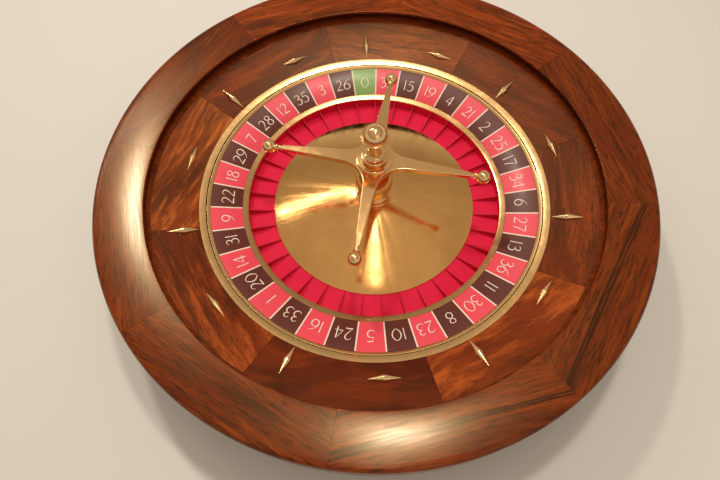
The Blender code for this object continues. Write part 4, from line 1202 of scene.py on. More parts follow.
@dataclass
class Bowl(SubAssembly):
    """Fixed wooden bowl: body, rim boards, ball track, apron, trim and base board."""

    boards: tuple[Board, ...] = RIM_BOARDS
    veneers: tuple[Veneer, ...] = APRON_VENEERS
    rim_seam_deg: float = -6.4
    joint: float = 0.00006
    steps_per_segment: int = 28
    ring_steps: int = 288
    rim_corner: float = 0.006
    rim_base_corner: float = 0.005
    rim_inner_corner: float = 0.0009
    rim_inner_height: float = 0.0406
    rim_outer_height: float = 0.0480
    rim_crown: float = 0.0006
    rim_crown_steps: int = 12
    rim_lip: float = 0.0043
    apron_thickness: float = 0.012
    cove_radius: float = 0.0065
    track_wall: float = 0.0095
    track_joint: float = 0.00003
    edge_round: float = 0.0001
    panel_joint: float = 0.0004
    bead: float = 0.0002
    bead_steps: int = 8
    trim_drop: float = 0.0003
    trim_least: float = 0.002
    shell_foot: float = 0.039
    shell_lip: float = 0.0002
    shell_steps: int = 16
    shell_round: float = 0.0008
    base_edge: float = 0.0035

    @property
    def pitch_deg(self) -> float:
        """Angle of one rim board or apron panel."""
        return FULL_TURN / len(self.boards)

    @property
    def slope(self) -> float:
        """Rise of the apron for each metre outwards."""
        return math.tan(math.radians(APRON_SLOPE_DEG))

    def build(self) -> None:
        """Builds every piece of the bowl."""
        self.build_rim()
        self.build_track()
        self.build_apron()
        self.build_trim()
        self.build_body()
        self.build_base()

    def sweep(self, seam_deg: float, index: int, inner: float, joint: float) -> tuple[float, float]:
        """Gives one block's first direction and angle, with half a joint left free on each side."""
        gap = math.degrees(joint / inner)
        return seam_deg + self.pitch_deg * index + gap / 2.0, self.pitch_deg - gap

    def rim_profile(self, extent: Extent) -> list[Point]:
        """Gives the cross-section of the rim: crowned top, round shoulder and thin inner lip.

        Args:
            extent: Reach of a rim board.

        Returns:
            The (radius, level) points.
        """
        base = extent.low
        inner_top = base + self.rim_inner_height
        outer_top = base + self.rim_outer_height
        start = extent.inner + self.rim_inner_corner
        end = extent.outer - self.rim_corner
        track = self.extent("ball_track_ring")
        crown = []
        for i in range(1, self.rim_crown_steps):
            share = i / self.rim_crown_steps
            bulge = self.rim_crown * 4.0 * share * (1.0 - share)
            crown.append((start + (end - start) * share, inner_top + (outer_top - inner_top) * share + bulge))
        corner = arc((start, inner_top - self.rim_inner_corner), self.rim_inner_corner, 180.0, 90.0, points=5)
        shoulder = arc((end, outer_top - self.rim_corner), self.rim_corner, 90.0, 0.0, points=9)
        foot_centre = (extent.outer - self.rim_base_corner, base + self.rim_base_corner)
        foot = arc(foot_centre, self.rim_base_corner, 0.0, -90.0, points=5)
        lip = inner_top - self.rim_lip
        step = track.outer + self.joint
        return [(extent.inner, lip), *corner, *crown, *shoulder, *foot, (step, base), (step, lip)]

    def build_rim(self) -> None:
        """Builds the mitred rim boards, each with its own straight grain."""
        extent = self.extent("rim_segment_1")
        profile = self.rim_profile(extent)
        for index, look in enumerate(self.boards):
            number = index + 1
            sweep = self.sweep(self.rim_seam_deg, index, extent.inner, self.joint)
            board = Bench.turn(f"rim_board_{number}", profile, self.steps_per_segment, sweep=sweep)
            Bench.soften(board, self.edge_round)
            finish = look.wood(number, sweep[0] + sweep[1] / 2.0)
            self.mount(board, finish, "rim_wood", [f"rim_segment_{number}"])

    def build_track(self) -> None:
        """Builds the cove that leads the apron up into the wall under the rim's lip."""
        extent = self.extent("ball_track_ring")
        start = extent.low + self.apron_thickness
        inner = self.extent("apron_segment_1").outer + self.track_joint
        wall = extent.outer - self.track_wall
        lean = math.radians(APRON_SLOPE_DEG)
        across = wall - self.cove_radius
        centre = (across, start + self.slope * (across - extent.inner) + self.cove_radius / math.cos(lean))
        cove = arc(centre, self.cove_radius, APRON_SLOPE_DEG - 90.0, 0.0, points=12)
        profile = [
            (inner, extent.low),
            (inner, start - self.slope * (extent.inner - inner)),
            *cove,
            (wall, extent.high),
            (extent.outer, extent.high),
            (extent.outer, extent.low),
        ]
        ring = Bench.turn("ball_track", profile, self.ring_steps)
        self.mount(ring, TRACK_WOOD, "track_wood", ["ball_track_ring"])

    def build_apron(self) -> None:
        """Builds the sloping apron panels of figured veneer."""
        extent = self.extent("apron_segment_1")
        top_inner = extent.low + self.apron_thickness
        rise = self.slope * (extent.outer - extent.inner)
        profile = [
            (extent.inner, top_inner),
            (extent.outer, top_inner + rise),
            (extent.outer, top_inner + rise - self.apron_thickness),
            (extent.inner, extent.low),
        ]
        seam = self.rim_seam_deg - self.pitch_deg / 2.0
        for index, look in enumerate(self.veneers):
            number = index + 1
            sweep = self.sweep(seam, index, extent.inner, self.panel_joint)
            panel = Bench.turn(f"apron_panel_{number}", profile, self.steps_per_segment, sweep=sweep)
            finish = look.wood(number, sweep[0] + sweep[1] / 2.0)
            self.mount(panel, finish, "apron_wood", [f"apron_segment_{number}"])

    def build_trim(self) -> None:
        """Builds the brass ring between the apron and the wheel head."""
        extent = self.extent("apron_trim_ring")
        width = extent.outer - extent.inner
        rise = self.slope * width
        thickness = max(extent.high - extent.low - rise - self.bead, self.trim_least)
        top = []
        for i in range(self.bead_steps + 1):
            share = i / self.bead_steps
            crown = self.bead * math.sin(math.pi * share)
            level = extent.low + thickness + rise * share + crown - self.trim_drop
            top.append((extent.inner + width * share, level))
        profile = [*top, (extent.outer, extent.low + rise), (extent.inner, extent.low)]
        ring = Bench.turn("apron_trim", profile, self.ring_steps)
        # The ring's face in the gap takes painted shade.
        self.line_gap(ring, TRIM_BRASS, extent.inner)
        self.mount(ring, None, "brass", ["apron_trim_ring"])

    def build_body(self) -> None:
        """Builds the turned body of the bowl, seen from the side and below."""
        extent = self.extent("bowl_body")
        apron = self.extent("apron_segment_1")
        rim = self.extent("rim_segment_1")
        track = self.extent("ball_track_ring")
        top = rim.low - self.joint
        base_radius = extent.inner + self.shell_foot
        curve = []
        for i in range(self.shell_steps + 1):
            turn = math.pi / 2.0 * i / self.shell_steps
            radius = base_radius + (extent.outer - base_radius) * math.cos(turn)
            curve.append((radius, top - (top - extent.low) * math.sin(turn)))
        seat = apron.low - self.joint
        shelf = track.low - self.joint
        profile = [
            (extent.inner, seat - self.shell_lip),
            (apron.inner, seat),
            (apron.outer, shelf),
            (track.outer, shelf),
            (track.outer, top),
            *curve,
            (extent.inner, extent.low),
        ]
        body = Bench.turn("bowl_shell", profile, self.ring_steps)
        Bench.soften(body, self.shell_round)
        self.mount(body, BODY_WOOD, "body_wood", ["bowl_body"])

    def build_base(self) -> None:
        """Builds the round base board."""
        extent = self.extent("base_board")
        edge = self.base_edge
        profile = [
            (0.0, extent.high),
            *arc((extent.outer - edge, extent.high - edge), edge, 90.0, 0.0, points=5),
            *arc((extent.outer - edge, extent.low + edge), edge, 0.0, -90.0, points=5),
            (0.0, extent.low),
        ]
        board = Bench.turn("base_disc", profile, self.ring_steps)
        self.mount(board, PLYWOOD, "plywood", ["base_board"])


@dataclass
class Feet(SubAssembly):
    """Levelling feet: grooved rubber pads on threaded studs."""

    count: int = 4
    steps: int = 48
    pad: float = 0.008
    pad_corner: float = 0.002
    pad_low_corner: float = 0.001
    stud: float = 0.005
    stud_corner: float = 0.0006
    thread_pitch: float = 0.00125
    thread_depth: float = 0.0005
    collar_share: float = 2.1
    collar_height: float = 0.0006
    groove_depth: float = 0.0007
    groove_shares: tuple[float, float, float] = (0.55, 0.48, 0.41)
    hollow: float = 0.0006
    hollow_shares: tuple[float, float] = (0.70, 0.66)

    def build(self) -> None:
        """Builds each foot where its node is."""
        for number in range(1, self.count + 1):
            self.build_foot(number)

    def profile(self, radius: float, top: float) -> list[Point]:
        """Gives the cross-section of a foot.

        Args:
            radius: Radius of the pad.
            top: Level of the stud's end.

        Returns:
            The (radius, level) points.
        """
        pad, stud = self.pad, self.stud
        threads = []
        level = top - self.stud_corner
        while level > pad + self.thread_pitch:
            threads += [(stud, level), (stud - self.thread_depth, level - self.thread_pitch / 2.0)]
            level -= self.thread_pitch
        above, groove, below = self.groove_shares
        outer, inner = self.hollow_shares
        corner, low_corner = self.pad_corner, self.pad_low_corner
        return [
            (0.0, top),
            (stud - self.stud_corner, top),
            *threads,
            (stud, pad + self.collar_height),
            (stud * self.collar_share, pad + self.collar_height),
            (stud * self.collar_share, pad),
            (radius - corner, pad),
            *arc((radius - corner, pad - corner), corner, 80.0, 0.0, points=4),
            (radius, pad * above),
            (radius - self.groove_depth, pad * groove),
            (radius, pad * below),
            *arc((radius - low_corner, low_corner), low_corner, 0.0, -90.0, points=3),
            (radius * outer, 0.0),
            (radius * inner, self.hollow),
            (0.0, self.hollow),
        ]

    def build_foot(self, number: int) -> None:
        """Builds one foot.

        Args:
            number: Number of the foot, from 1.
        """
        node = f"levelling_foot_{number}"
        low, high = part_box(node)
        centre = (low + high) / 2.0
        foot = Bench.turn(f"foot_{number}", self.profile((high.x - low.x) / 2.0, high.z), self.steps)
        foot.data.transform(Matrix.Translation((centre.x, centre.y, 0.0)))
        self.mount(foot, RUBBER, "rubber", [node], body=node)


@dataclass
class Deflectors(SubAssembly):
    """Brass deflectors on the apron, pointing inwards and sideways in turn."""

    count: int = 14
    first_deg: float = -9.0
    circle: float = 0.2912
    length: float = 0.0445
    width: float = 0.0115
    height: float = 0.006
    sides: int = 48
    tip: Point = (0.0003, 0.00035)
    facet_angle_deg: float = 16.0

    def pattern(self) -> bpy.types.Object:
        """Makes one deflector along X, cut flat at z = 0.

        Returns:
            The pattern.
        """
        half = self.length / 2.0
        ridge = self.width / 2.0
        tip_length, tip_radius = self.tip
        profile = [
            (-half, 0.0),
            (-half + tip_length, tip_radius),
            (-half / 2.0, ridge / 2.0),
            (0.0, ridge),
            (half / 2.0, ridge / 2.0),
            (half - tip_length, tip_radius),
            (half, 0.0),
        ]
        piece = Bench.turn("deflector_pattern", profile, self.sides, axis=Axis.ALONG_X)
        bpy.ops.object.mode_set(mode="EDIT")
        bpy.ops.mesh.select_all(action="SELECT")
        bpy.ops.transform.resize(value=(1.0, 1.0, self.height / ridge), center_override=(0.0, 0.0, 0.0))
        bpy.ops.mesh.bisect(
            plane_co=(0.0, 0.0, 0.0), plane_no=(0.0, 0.0, 1.0), use_fill=True, clear_inner=True
        )
        Bench.close(piece, smooth=False)
        bpy.ops.object.shade_smooth_by_angle(angle=math.radians(self.facet_angle_deg))
        return piece

    def build(self) -> None:
        """Places the deflectors where the frame's nodes are."""
        pattern = self.pattern()
        lean = Matrix.Rotation(-math.radians(APRON_SLOPE_DEG), 4, "Y")
        for index in range(self.count):
            angle = self.first_deg + FULL_TURN * index / self.count
            node = f"deflector_{index + 1}"
            sideways = index % 2 == 1
            foot = self.foot_level(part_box(node)[0].z, sideways)
            place = Matrix.Translation(polar(self.circle, angle, foot))
            turn = Matrix.Rotation(math.radians(angle), 4, "Z")
            swing = Matrix.Rotation(math.radians(90.0 if sideways else 0.0), 4, "Z")
            piece = Bench.copy(pattern, f"deflector_pin_{index + 1}", place @ turn @ lean @ swing)
            self.mount(piece, PIN_BRASS, "brass", [node])
        Bench.drop(pattern)

    def foot_level(self, low: float, sideways: bool) -> float:
        """Gives the level of a deflector's middle, from its node's lowest point."""
        reach = self.width / 2.0 if sideways else self.length / 2.0
        return low + reach * math.sin(math.radians(APRON_SLOPE_DEG))


class Glyphs:
    """Thin display figures, drawn as strokes whose weight swells and thins.

    A stroke is a list of (x, y, weight) points through which a smooth curve runs. x and y are
    shares of the figure's height, and a weight of 1 is the heaviest stroke.
    """

    STROKES: dict[str, list[tuple[bool, list[tuple[float, float, float]]]]] = {
        "0": [(True, [(0.34, 1.0, 0.5), (0.08, 0.78, 0.85), (0.0, 0.5, 1.0), (0.08, 0.22, 0.85),
                      (0.34, 0.0, 0.5), (0.60, 0.22, 0.85), (0.68, 0.5, 1.0), (0.60, 0.78, 0.85)])],
        "1": [(False, [(0.10, 1.0, 0.9), (0.10, 0.5, 0.8), (0.10, 0.0, 0.9)])],
        "2": [(False, [(0.04, 0.80, 0.35), (0.16, 0.96, 0.5), (0.34, 0.99, 0.7), (0.50, 0.86, 1.0),
                       (0.50, 0.66, 1.0), (0.34, 0.40, 0.6), (0.12, 0.14, 0.45), (0.0, 0.02, 0.45)]),
              (False, [(0.0, 0.02, 0.9), (0.30, 0.03, 1.0), (0.58, 0.02, 0.8)])],
        "3": [(False, [(0.06, 0.86, 0.4), (0.22, 0.99, 0.6), (0.42, 0.93, 0.9), (0.46, 0.76, 0.95),
                       (0.34, 0.60, 0.6), (0.18, 0.56, 0.4)]),
              (False, [(0.18, 0.56, 0.4), (0.40, 0.54, 0.7), (0.54, 0.36, 1.0), (0.50, 0.14, 1.0),
                       (0.32, 0.01, 0.7), (0.12, 0.03, 0.5), (0.0, 0.14, 0.35)])],
        "4": [(False, [(0.46, 1.0, 0.45), (0.22, 0.64, 0.45), (0.0, 0.28, 0.45)]),
              (False, [(0.0, 0.28, 0.55), (0.32, 0.28, 0.55), (0.66, 0.28, 0.5)]),
              (False, [(0.46, 1.0, 0.95), (0.46, 0.5, 1.0), (0.46, 0.0, 1.0)])],
        "5": [(False, [(0.54, 0.99, 0.7), (0.34, 0.98, 0.9), (0.14, 0.98, 0.7)]),
              (False, [(0.14, 0.98, 0.45), (0.11, 0.78, 0.45), (0.09, 0.58, 0.45)]),
              (False, [(0.09, 0.58, 0.45), (0.28, 0.64, 0.6), (0.48, 0.54, 0.9), (0.56, 0.32, 1.0),
                       (0.48, 0.10, 0.95), (0.28, 0.0, 0.65), (0.10, 0.03, 0.5), (0.0, 0.12, 0.35)])],
        "6": [(False, [(0.56, 1.02, 0.35), (0.30, 0.86, 0.5), (0.08, 0.58, 0.8), (0.01, 0.32, 1.0),
                       (0.10, 0.08, 0.9), (0.30, 0.0, 0.6), (0.50, 0.10, 0.85), (0.58, 0.32, 1.0),
                       (0.48, 0.54, 0.85), (0.30, 0.61, 0.5), (0.12, 0.52, 0.4), (0.03, 0.40, 0.35)])],
        "7": [(False, [(0.0, 0.98, 0.8), (0.30, 0.97, 1.0), (0.58, 0.98, 0.8)]),
              (False, [(0.58, 0.98, 0.45), (0.38, 0.56, 0.75), (0.22, 0.0, 1.0)])],
        "8": [(True, [(0.29, 0.99, 0.5), (0.10, 0.90, 0.8), (0.10, 0.70, 0.8), (0.29, 0.56, 0.6),
                      (0.50, 0.42, 0.9), (0.54, 0.18, 1.0), (0.30, 0.0, 0.6), (0.05, 0.18, 0.9),
                      (0.08, 0.42, 0.85), (0.29, 0.56, 0.5), (0.48, 0.70, 0.85), (0.48, 0.90, 0.85)])],
        "9": [(False, [(0.02, -0.02, 0.35), (0.28, 0.14, 0.5), (0.50, 0.42, 0.8), (0.57, 0.68, 1.0),
                       (0.48, 0.92, 0.9), (0.28, 1.0, 0.6), (0.08, 0.90, 0.85), (0.0, 0.68, 1.0),
                       (0.10, 0.46, 0.85), (0.28, 0.39, 0.5), (0.46, 0.48, 0.4), (0.55, 0.60, 0.35)])],
    }
    WIDTHS: dict[str, float] = {
        "0": 0.68, "1": 0.20, "2": 0.58, "3": 0.54, "4": 0.66,
        "5": 0.56, "6": 0.58, "7": 0.58, "8": 0.56, "9": 0.57,
    }

    def __init__(self, height: float, weight: float, gap: float, relief: float) -> None:
        """Keeps the figures' sizes.

        Args:
            height: Height of a figure.
            weight: Width of its heaviest stroke.
            gap: Space between two figures.
            relief: Height of the paint over the ring.
        """
        self.height = height
        self.weight = weight
        self.gap = gap
        self.relief = relief
        self._made: dict[str, bpy.types.Object] = {}

    def figure(self, digit: str) -> bpy.types.Object:
        """Gives one figure as a mesh that lies on z = 0, its lower left corner at the origin.

        Args:
            digit: The figure, from 0 to 9.

        Returns:
            Its pattern, which is made the first time.
        """
        if digit in self._made:
            return self._made[digit]
        curve = bpy.data.curves.new(f"figure_{digit}", "CURVE")
        curve.dimensions = "3D"
        curve.bevel_depth = self.weight / 2.0
        curve.bevel_resolution = 1
        curve.resolution_u = 4
        curve.use_fill_caps = True
        for cyclic, points in self.STROKES[digit]:
            spline = curve.splines.new("BEZIER")
            spline.bezier_points.add(len(points) - 1)
            spline.use_cyclic_u = cyclic
            for knot, (x, y, weight) in zip(spline.bezier_points, points):
                knot.co = (x * self.height, y * self.height, 0.0)
                knot.radius = weight
                knot.handle_left_type = "AUTO"
                knot.handle_right_type = "AUTO"
        holder = bpy.data.objects.new(f"figure_{digit}", curve)
        bpy.context.scene.collection.objects.link(holder)
        bpy.ops.object.select_all(action="DESELECT")
        holder.select_set(True)
        bpy.context.view_layer.objects.active = holder
        bpy.ops.object.convert(target="MESH")
        flat = Matrix.Diagonal((1.0, 1.0, 2.0 * self.relief / self.weight, 1.0))
        bpy.context.object.data.transform(flat)
        self._made[digit] = bpy.context.object
        return self._made[digit]

    def number(self, value: int) -> bpy.types.Object:
        """Gives a whole number, centred on the origin.

        Args:
            value: The number.

        Returns:
            Its figures in one piece.
        """
        digits = str(value)
        total = sum(self.WIDTHS[d] * self.height for d in digits) + self.gap * (len(digits) - 1)
        left = -total / 2.0
        pieces = []
        for place, digit in enumerate(digits):
            shift = Matrix.Translation((left, -self.height / 2.0, 0.0))
            pieces.append(Bench.copy(self.figure(digit), f"number_{value}_{place}", shift))
            left += self.WIDTHS[digit] * self.height + self.gap
        return Bench.join(pieces, f"number_{value}") if len(pieces) > 1 else pieces[0]

    def clear(self) -> None:
        """Removes the patterns of the figures."""
        for piece in self._made.values():
            Bench.drop(piece)
        self._made.clear()


@dataclass
class WheelHead(SubAssembly):
    """Turning wheel head: number ring, pockets, frets, bands and cone."""

    body: str = "wheel_head"
    order: tuple[int, ...] = (
        27, 13, 36, 11, 30, 8, 23, 10, 5, 24, 16, 33, 1, 20, 14, 31, 9, 22, 18,
        29, 7, 28, 12, 35, 3, 26, 0, 32, 15, 19, 4, 21, 2, 25, 17, 34, 6,
    )
    first_edge_deg: float = -7.005
    slope_deg: float = 15.07
    steps_per_pocket: int = 8
    number_edge: float = 0.0003
    strip_width: float = 0.0021
    strip_relief: float = 0.00025
    strip_margin: float = 0.0004
    strip_root: float = 0.0001
    strip_round: float = 0.0001
    figure_height: float = 0.0178
    figure_radius: float = 0.2282
    figure_weight: float = 0.0019
    figure_gap: float = 0.0030
    figure_relief: float = 0.00022
    band_step: float = 0.0041
    band_rise: float = 0.0028
    band_corner: float = 0.0004
    band_bend: Point = (0.55, 0.62)
    ring_crown: float = 0.00004
    ring_crown_steps: int = 8
    ring_edge: float = 0.0002
    pocket_cove: float = 0.0012
    fret_thickness: float = 0.0012
    fret_outer_height: float = 0.012
    fret_inner_height: float = 0.0022
    fret_bow: float = 0.0006
    fret_round: float = 0.0004
    cone_edge_slope_deg: float = 16.0
    cone_top_slope_deg: float = 10.8
    cone_thickness: float = 0.0015
    cone_steps: int = 40
    cone_under_stride: int = 4
    cone_roll: Point = (0.0004, 0.0005)
    ring: Extent = field(init=False)

    def __post_init__(self) -> None:
        """Measures the number ring, which most pieces are placed from."""
        self.ring = self.extent("number_ring")

    @property
    def pocket_deg(self) -> float:
        """Angle of one pocket."""
        return FULL_TURN / len(self.order)

    @property
    def slope(self) -> float:
        """Rise of the number ring for each metre outwards."""
        return math.tan(math.radians(self.slope_deg))

    @property
    def steps(self) -> int:
        """Facets of a full ring, a whole number to each pocket."""
        return len(self.order) * self.steps_per_pocket

    @property
    def edges_deg(self) -> list[float]:
        """Directions of the lines before the pockets, clockwise from the first."""
        return [self.first_edge_deg - self.pocket_deg * index for index in range(len(self.order))]

    def build(self) -> None:
        """Builds every piece of the wheel head."""
        self.build_number_ring()
        self.build_strips()
        self.build_numbers()
        self.build_bands()
        self.build_pockets()
        self.build_frets()
        self.build_cone()

    def turned(self, name: str, profile: Sequence[Point]) -> bpy.types.Object:
        """Turns a full ring whose facets line up with the pockets.

        Args:
            name: Name of the ring.
            profile: Its (radius, level) points.

        Returns:
            The ring.
        """
        piece = Bench.turn(name, profile, self.steps)
        piece.data.transform(Matrix.Rotation(math.radians(self.first_edge_deg), 4, "Z"))
        return piece

    def band_level(self, radius: float) -> float:
        """Gives the height of the number ring's surface at a radius."""
        return self.ring.high - self.slope * (self.ring.outer - radius)

    def build_number_ring(self) -> None:
        """Builds the sloping ring whose sectors are painted red, black and green."""
        ring = self.ring
        low = self.band_level(ring.inner)
        thickness = low - ring.low
        edge = self.number_edge
        profile = [
            (ring.inner, low - edge),
            (ring.inner + edge, low),
            (ring.outer - edge, ring.high),
            (ring.outer, ring.high - edge),
            (ring.outer, ring.high - thickness),
            (ring.inner, ring.low),
        ]
        piece = self.turned("number_band", profile)
        piece.data.materials.clear()
        paints = (RED, BLACK, GREEN)
        for paint in paints:
            piece.data.materials.append(self.palette.get(paint))
        zero = self.order.index(0)
        for face in piece.data.polygons:
            angle = math.degrees(math.atan2(face.center.y, face.center.x))
            sector = int(((self.first_edge_deg - angle) % FULL_TURN) / self.pocket_deg) % len(self.order)
            after_zero = (sector - zero) % len(self.order)
            paint = GREEN if after_zero == 0 else (BLACK, RED)[after_zero % 2]
            face.material_index = paints.index(paint)
        self.mount(piece, None, "number_enamel", ["number_ring"])

    def build_strips(self) -> None:
        """Builds the pale strips between the sectors."""
        inner = self.ring.inner + self.strip_margin
        outer = self.ring.outer - self.strip_margin
        half = self.strip_width / 2.0
        strip = Bench.start("strip_pattern")
        corners = [(inner, -half), (outer, -half), (outer, half), (inner, half)]
        Bench.trace([Vector((x, y, self.band_level(x) - self.strip_root)) for x, y in corners], close=True)
        Bench.thicken(Vector((0.0, 0.0, self.strip_relief + self.strip_root)))
        Bench.close(strip, smooth=False)
        Bench.soften(strip, self.strip_round, 1)
        self.mount(Bench.ring_of(strip, "number_strips", self.edges_deg), CREAM, "number_enamel")

    def build_numbers(self) -> None:
        """Builds the painted figures, their tops outwards, bent to the band's slope."""
        glyphs = Glyphs(self.figure_height, self.figure_weight, self.figure_gap, self.figure_relief)
        placed = []
        for value, edge_deg in zip(self.order, self.edges_deg):
            number = glyphs.number(value)
            middle = math.radians(edge_deg - self.pocket_deg / 2.0)
            for vertex in number.data.vertices:
                across, outwards, relief = vertex.co
                radius = self.figure_radius + outwards
                angle = middle - across / self.figure_radius
                level = self.band_level(radius) + relief
                vertex.co = (radius * math.cos(angle), radius * math.sin(angle), level)
            placed.append(number)
        glyphs.clear()
        self.mount(Bench.join(placed, "number_figures"), CREAM, "number_enamel")

    def build_bands(self) -> None:
        """Builds the brass band round the number ring and the brass ring inside it."""
        band = self.extent("rotor_rim_band")
        width = band.outer - band.inner
        inner_top = band.high - self.band_step
        outer_top = inner_top + self.band_rise
        corner = self.band_corner
        along, up = self.band_bend
        profile = [
            (band.inner, band.low),
            (band.inner, inner_top - corner),
            (band.inner + corner, inner_top),
            (band.inner + width * along, inner_top + self.band_rise * up),
            *arc((band.outer - corner, outer_top - corner), corner, 118.0, 0.0, points=7),
            (band.outer, band.low),
        ]
        piece = self.turned("wheel_band", profile)
        # The band's face in the gap takes painted shade.
        self.line_gap(piece, BAND_BRASS, band.outer)
        self.mount(piece, None, "brass", ["rotor_rim_band"])
        ring = self.extent("inner_brass_ring")
        low = ring.high - self.slope * (ring.outer - ring.inner)
        crown = []
        for i in range(1, self.ring_crown_steps):
            share = i / self.ring_crown_steps
            level = low + (ring.high - low) * share + self.ring_crown * math.sin(math.pi * share)
            crown.append((ring.inner + (ring.outer - ring.inner) * share, level))
        profile = [
            (ring.inner, low - self.ring_edge),
            *crown,
            (ring.outer, ring.high - self.ring_crown),
            (ring.outer, ring.high - low + ring.low),
            (ring.inner, ring.low),
        ]
        self.mount(self.turned("pocket_ring", profile), INNER_BRASS, "brass", ["inner_brass_ring"])

    def build_pockets(self) -> None:
        """Builds the red floor of the pockets and the wall behind them."""
        floor = self.extent("pocket_floor")
        profile = [
            (floor.inner, floor.high),
            (floor.outer, floor.high),
            (floor.outer, floor.low),
            (floor.inner, floor.low),
        ]
        self.mount(self.turned("pocket_base", profile), POCKET_RED, "pocket_red", ["pocket_floor"])
        wall = self.extent("pocket_back_ring")
        cove = self.pocket_cove
        profile = [
            (wall.inner, wall.high),
            (wall.inner, wall.low + cove),
            *arc((wall.inner - cove, wall.low + cove), cove, 0.0, -90.0, points=5)[1:],
            (wall.outer, wall.low),
            (wall.outer, wall.high),
        ]
        self.mount(self.turned("pocket_wall", profile), POCKET_RED, "pocket_red", ["pocket_back_ring"])

    def build_frets(self) -> None:
        """Builds the thin upright plates between the pockets, with rounded tops that fall inwards."""
        whole = self.extent("pocket_frets")
        base = whole.low
        middle = (whole.inner + whole.outer) / 2.0
        outline = [
            (whole.inner, base),
            (whole.inner, base + self.fret_inner_height),
            (middle, base + 0.5 * (self.fret_inner_height + self.fret_outer_height) + self.fret_bow),
            (whole.outer, base + self.fret_outer_height),
            (whole.outer, base),
        ]
        plate = Bench.start("fret_pattern")
        Bench.trace([Vector((x, -self.fret_thickness / 2.0, z)) for x, z in outline], close=True)
        Bench.thicken(Vector((0.0, self.fret_thickness, 0.0)))
        Bench.close(plate, smooth=False)
        Bench.soften(plate, self.fret_round, 3)
        self.mount(Bench.ring_of(plate, "frets", self.edges_deg), FRET_RED, "pocket_red", ["pocket_frets"])

    def build_cone(self) -> None:
        """Builds the spun brass cone with a domed face and a small rolled edge."""
        cone = self.extent("cone")
        edge_slope = math.tan(math.radians(self.cone_edge_slope_deg))
        bend = math.tan(math.radians(self.cone_top_slope_deg)) - edge_slope
        full = cone.outer - cone.inner
        edge_level = cone.high - edge_slope * full - bend * full / 2.0
        roll_width, roll_height = self.cone_roll
        radii = [cone.outer - full * i / self.cone_steps for i in range(self.cone_steps + 1)]
        radii[0] -= roll_width
        face = []
        for radius in radii:
            inward = cone.outer - radius
            face.append((radius, edge_level + edge_slope * inward + bend * inward ** 2 / (2.0 * full)))
        coarse = face[::-self.cone_under_stride]
        under = [(radius, level - self.cone_thickness) for radius, level in coarse]
        under = [point for point in under if point[0] < cone.outer - self.cone_thickness]
        rolled = [
            (cone.outer - self.cone_thickness, cone.low),
            (cone.outer, cone.low),
            (cone.outer, edge_level - roll_height),
        ]
        self.mount(self.turned("cone_shell", [*face, *under, *rolled]), CONE_BRASS, "brass", ["cone"])


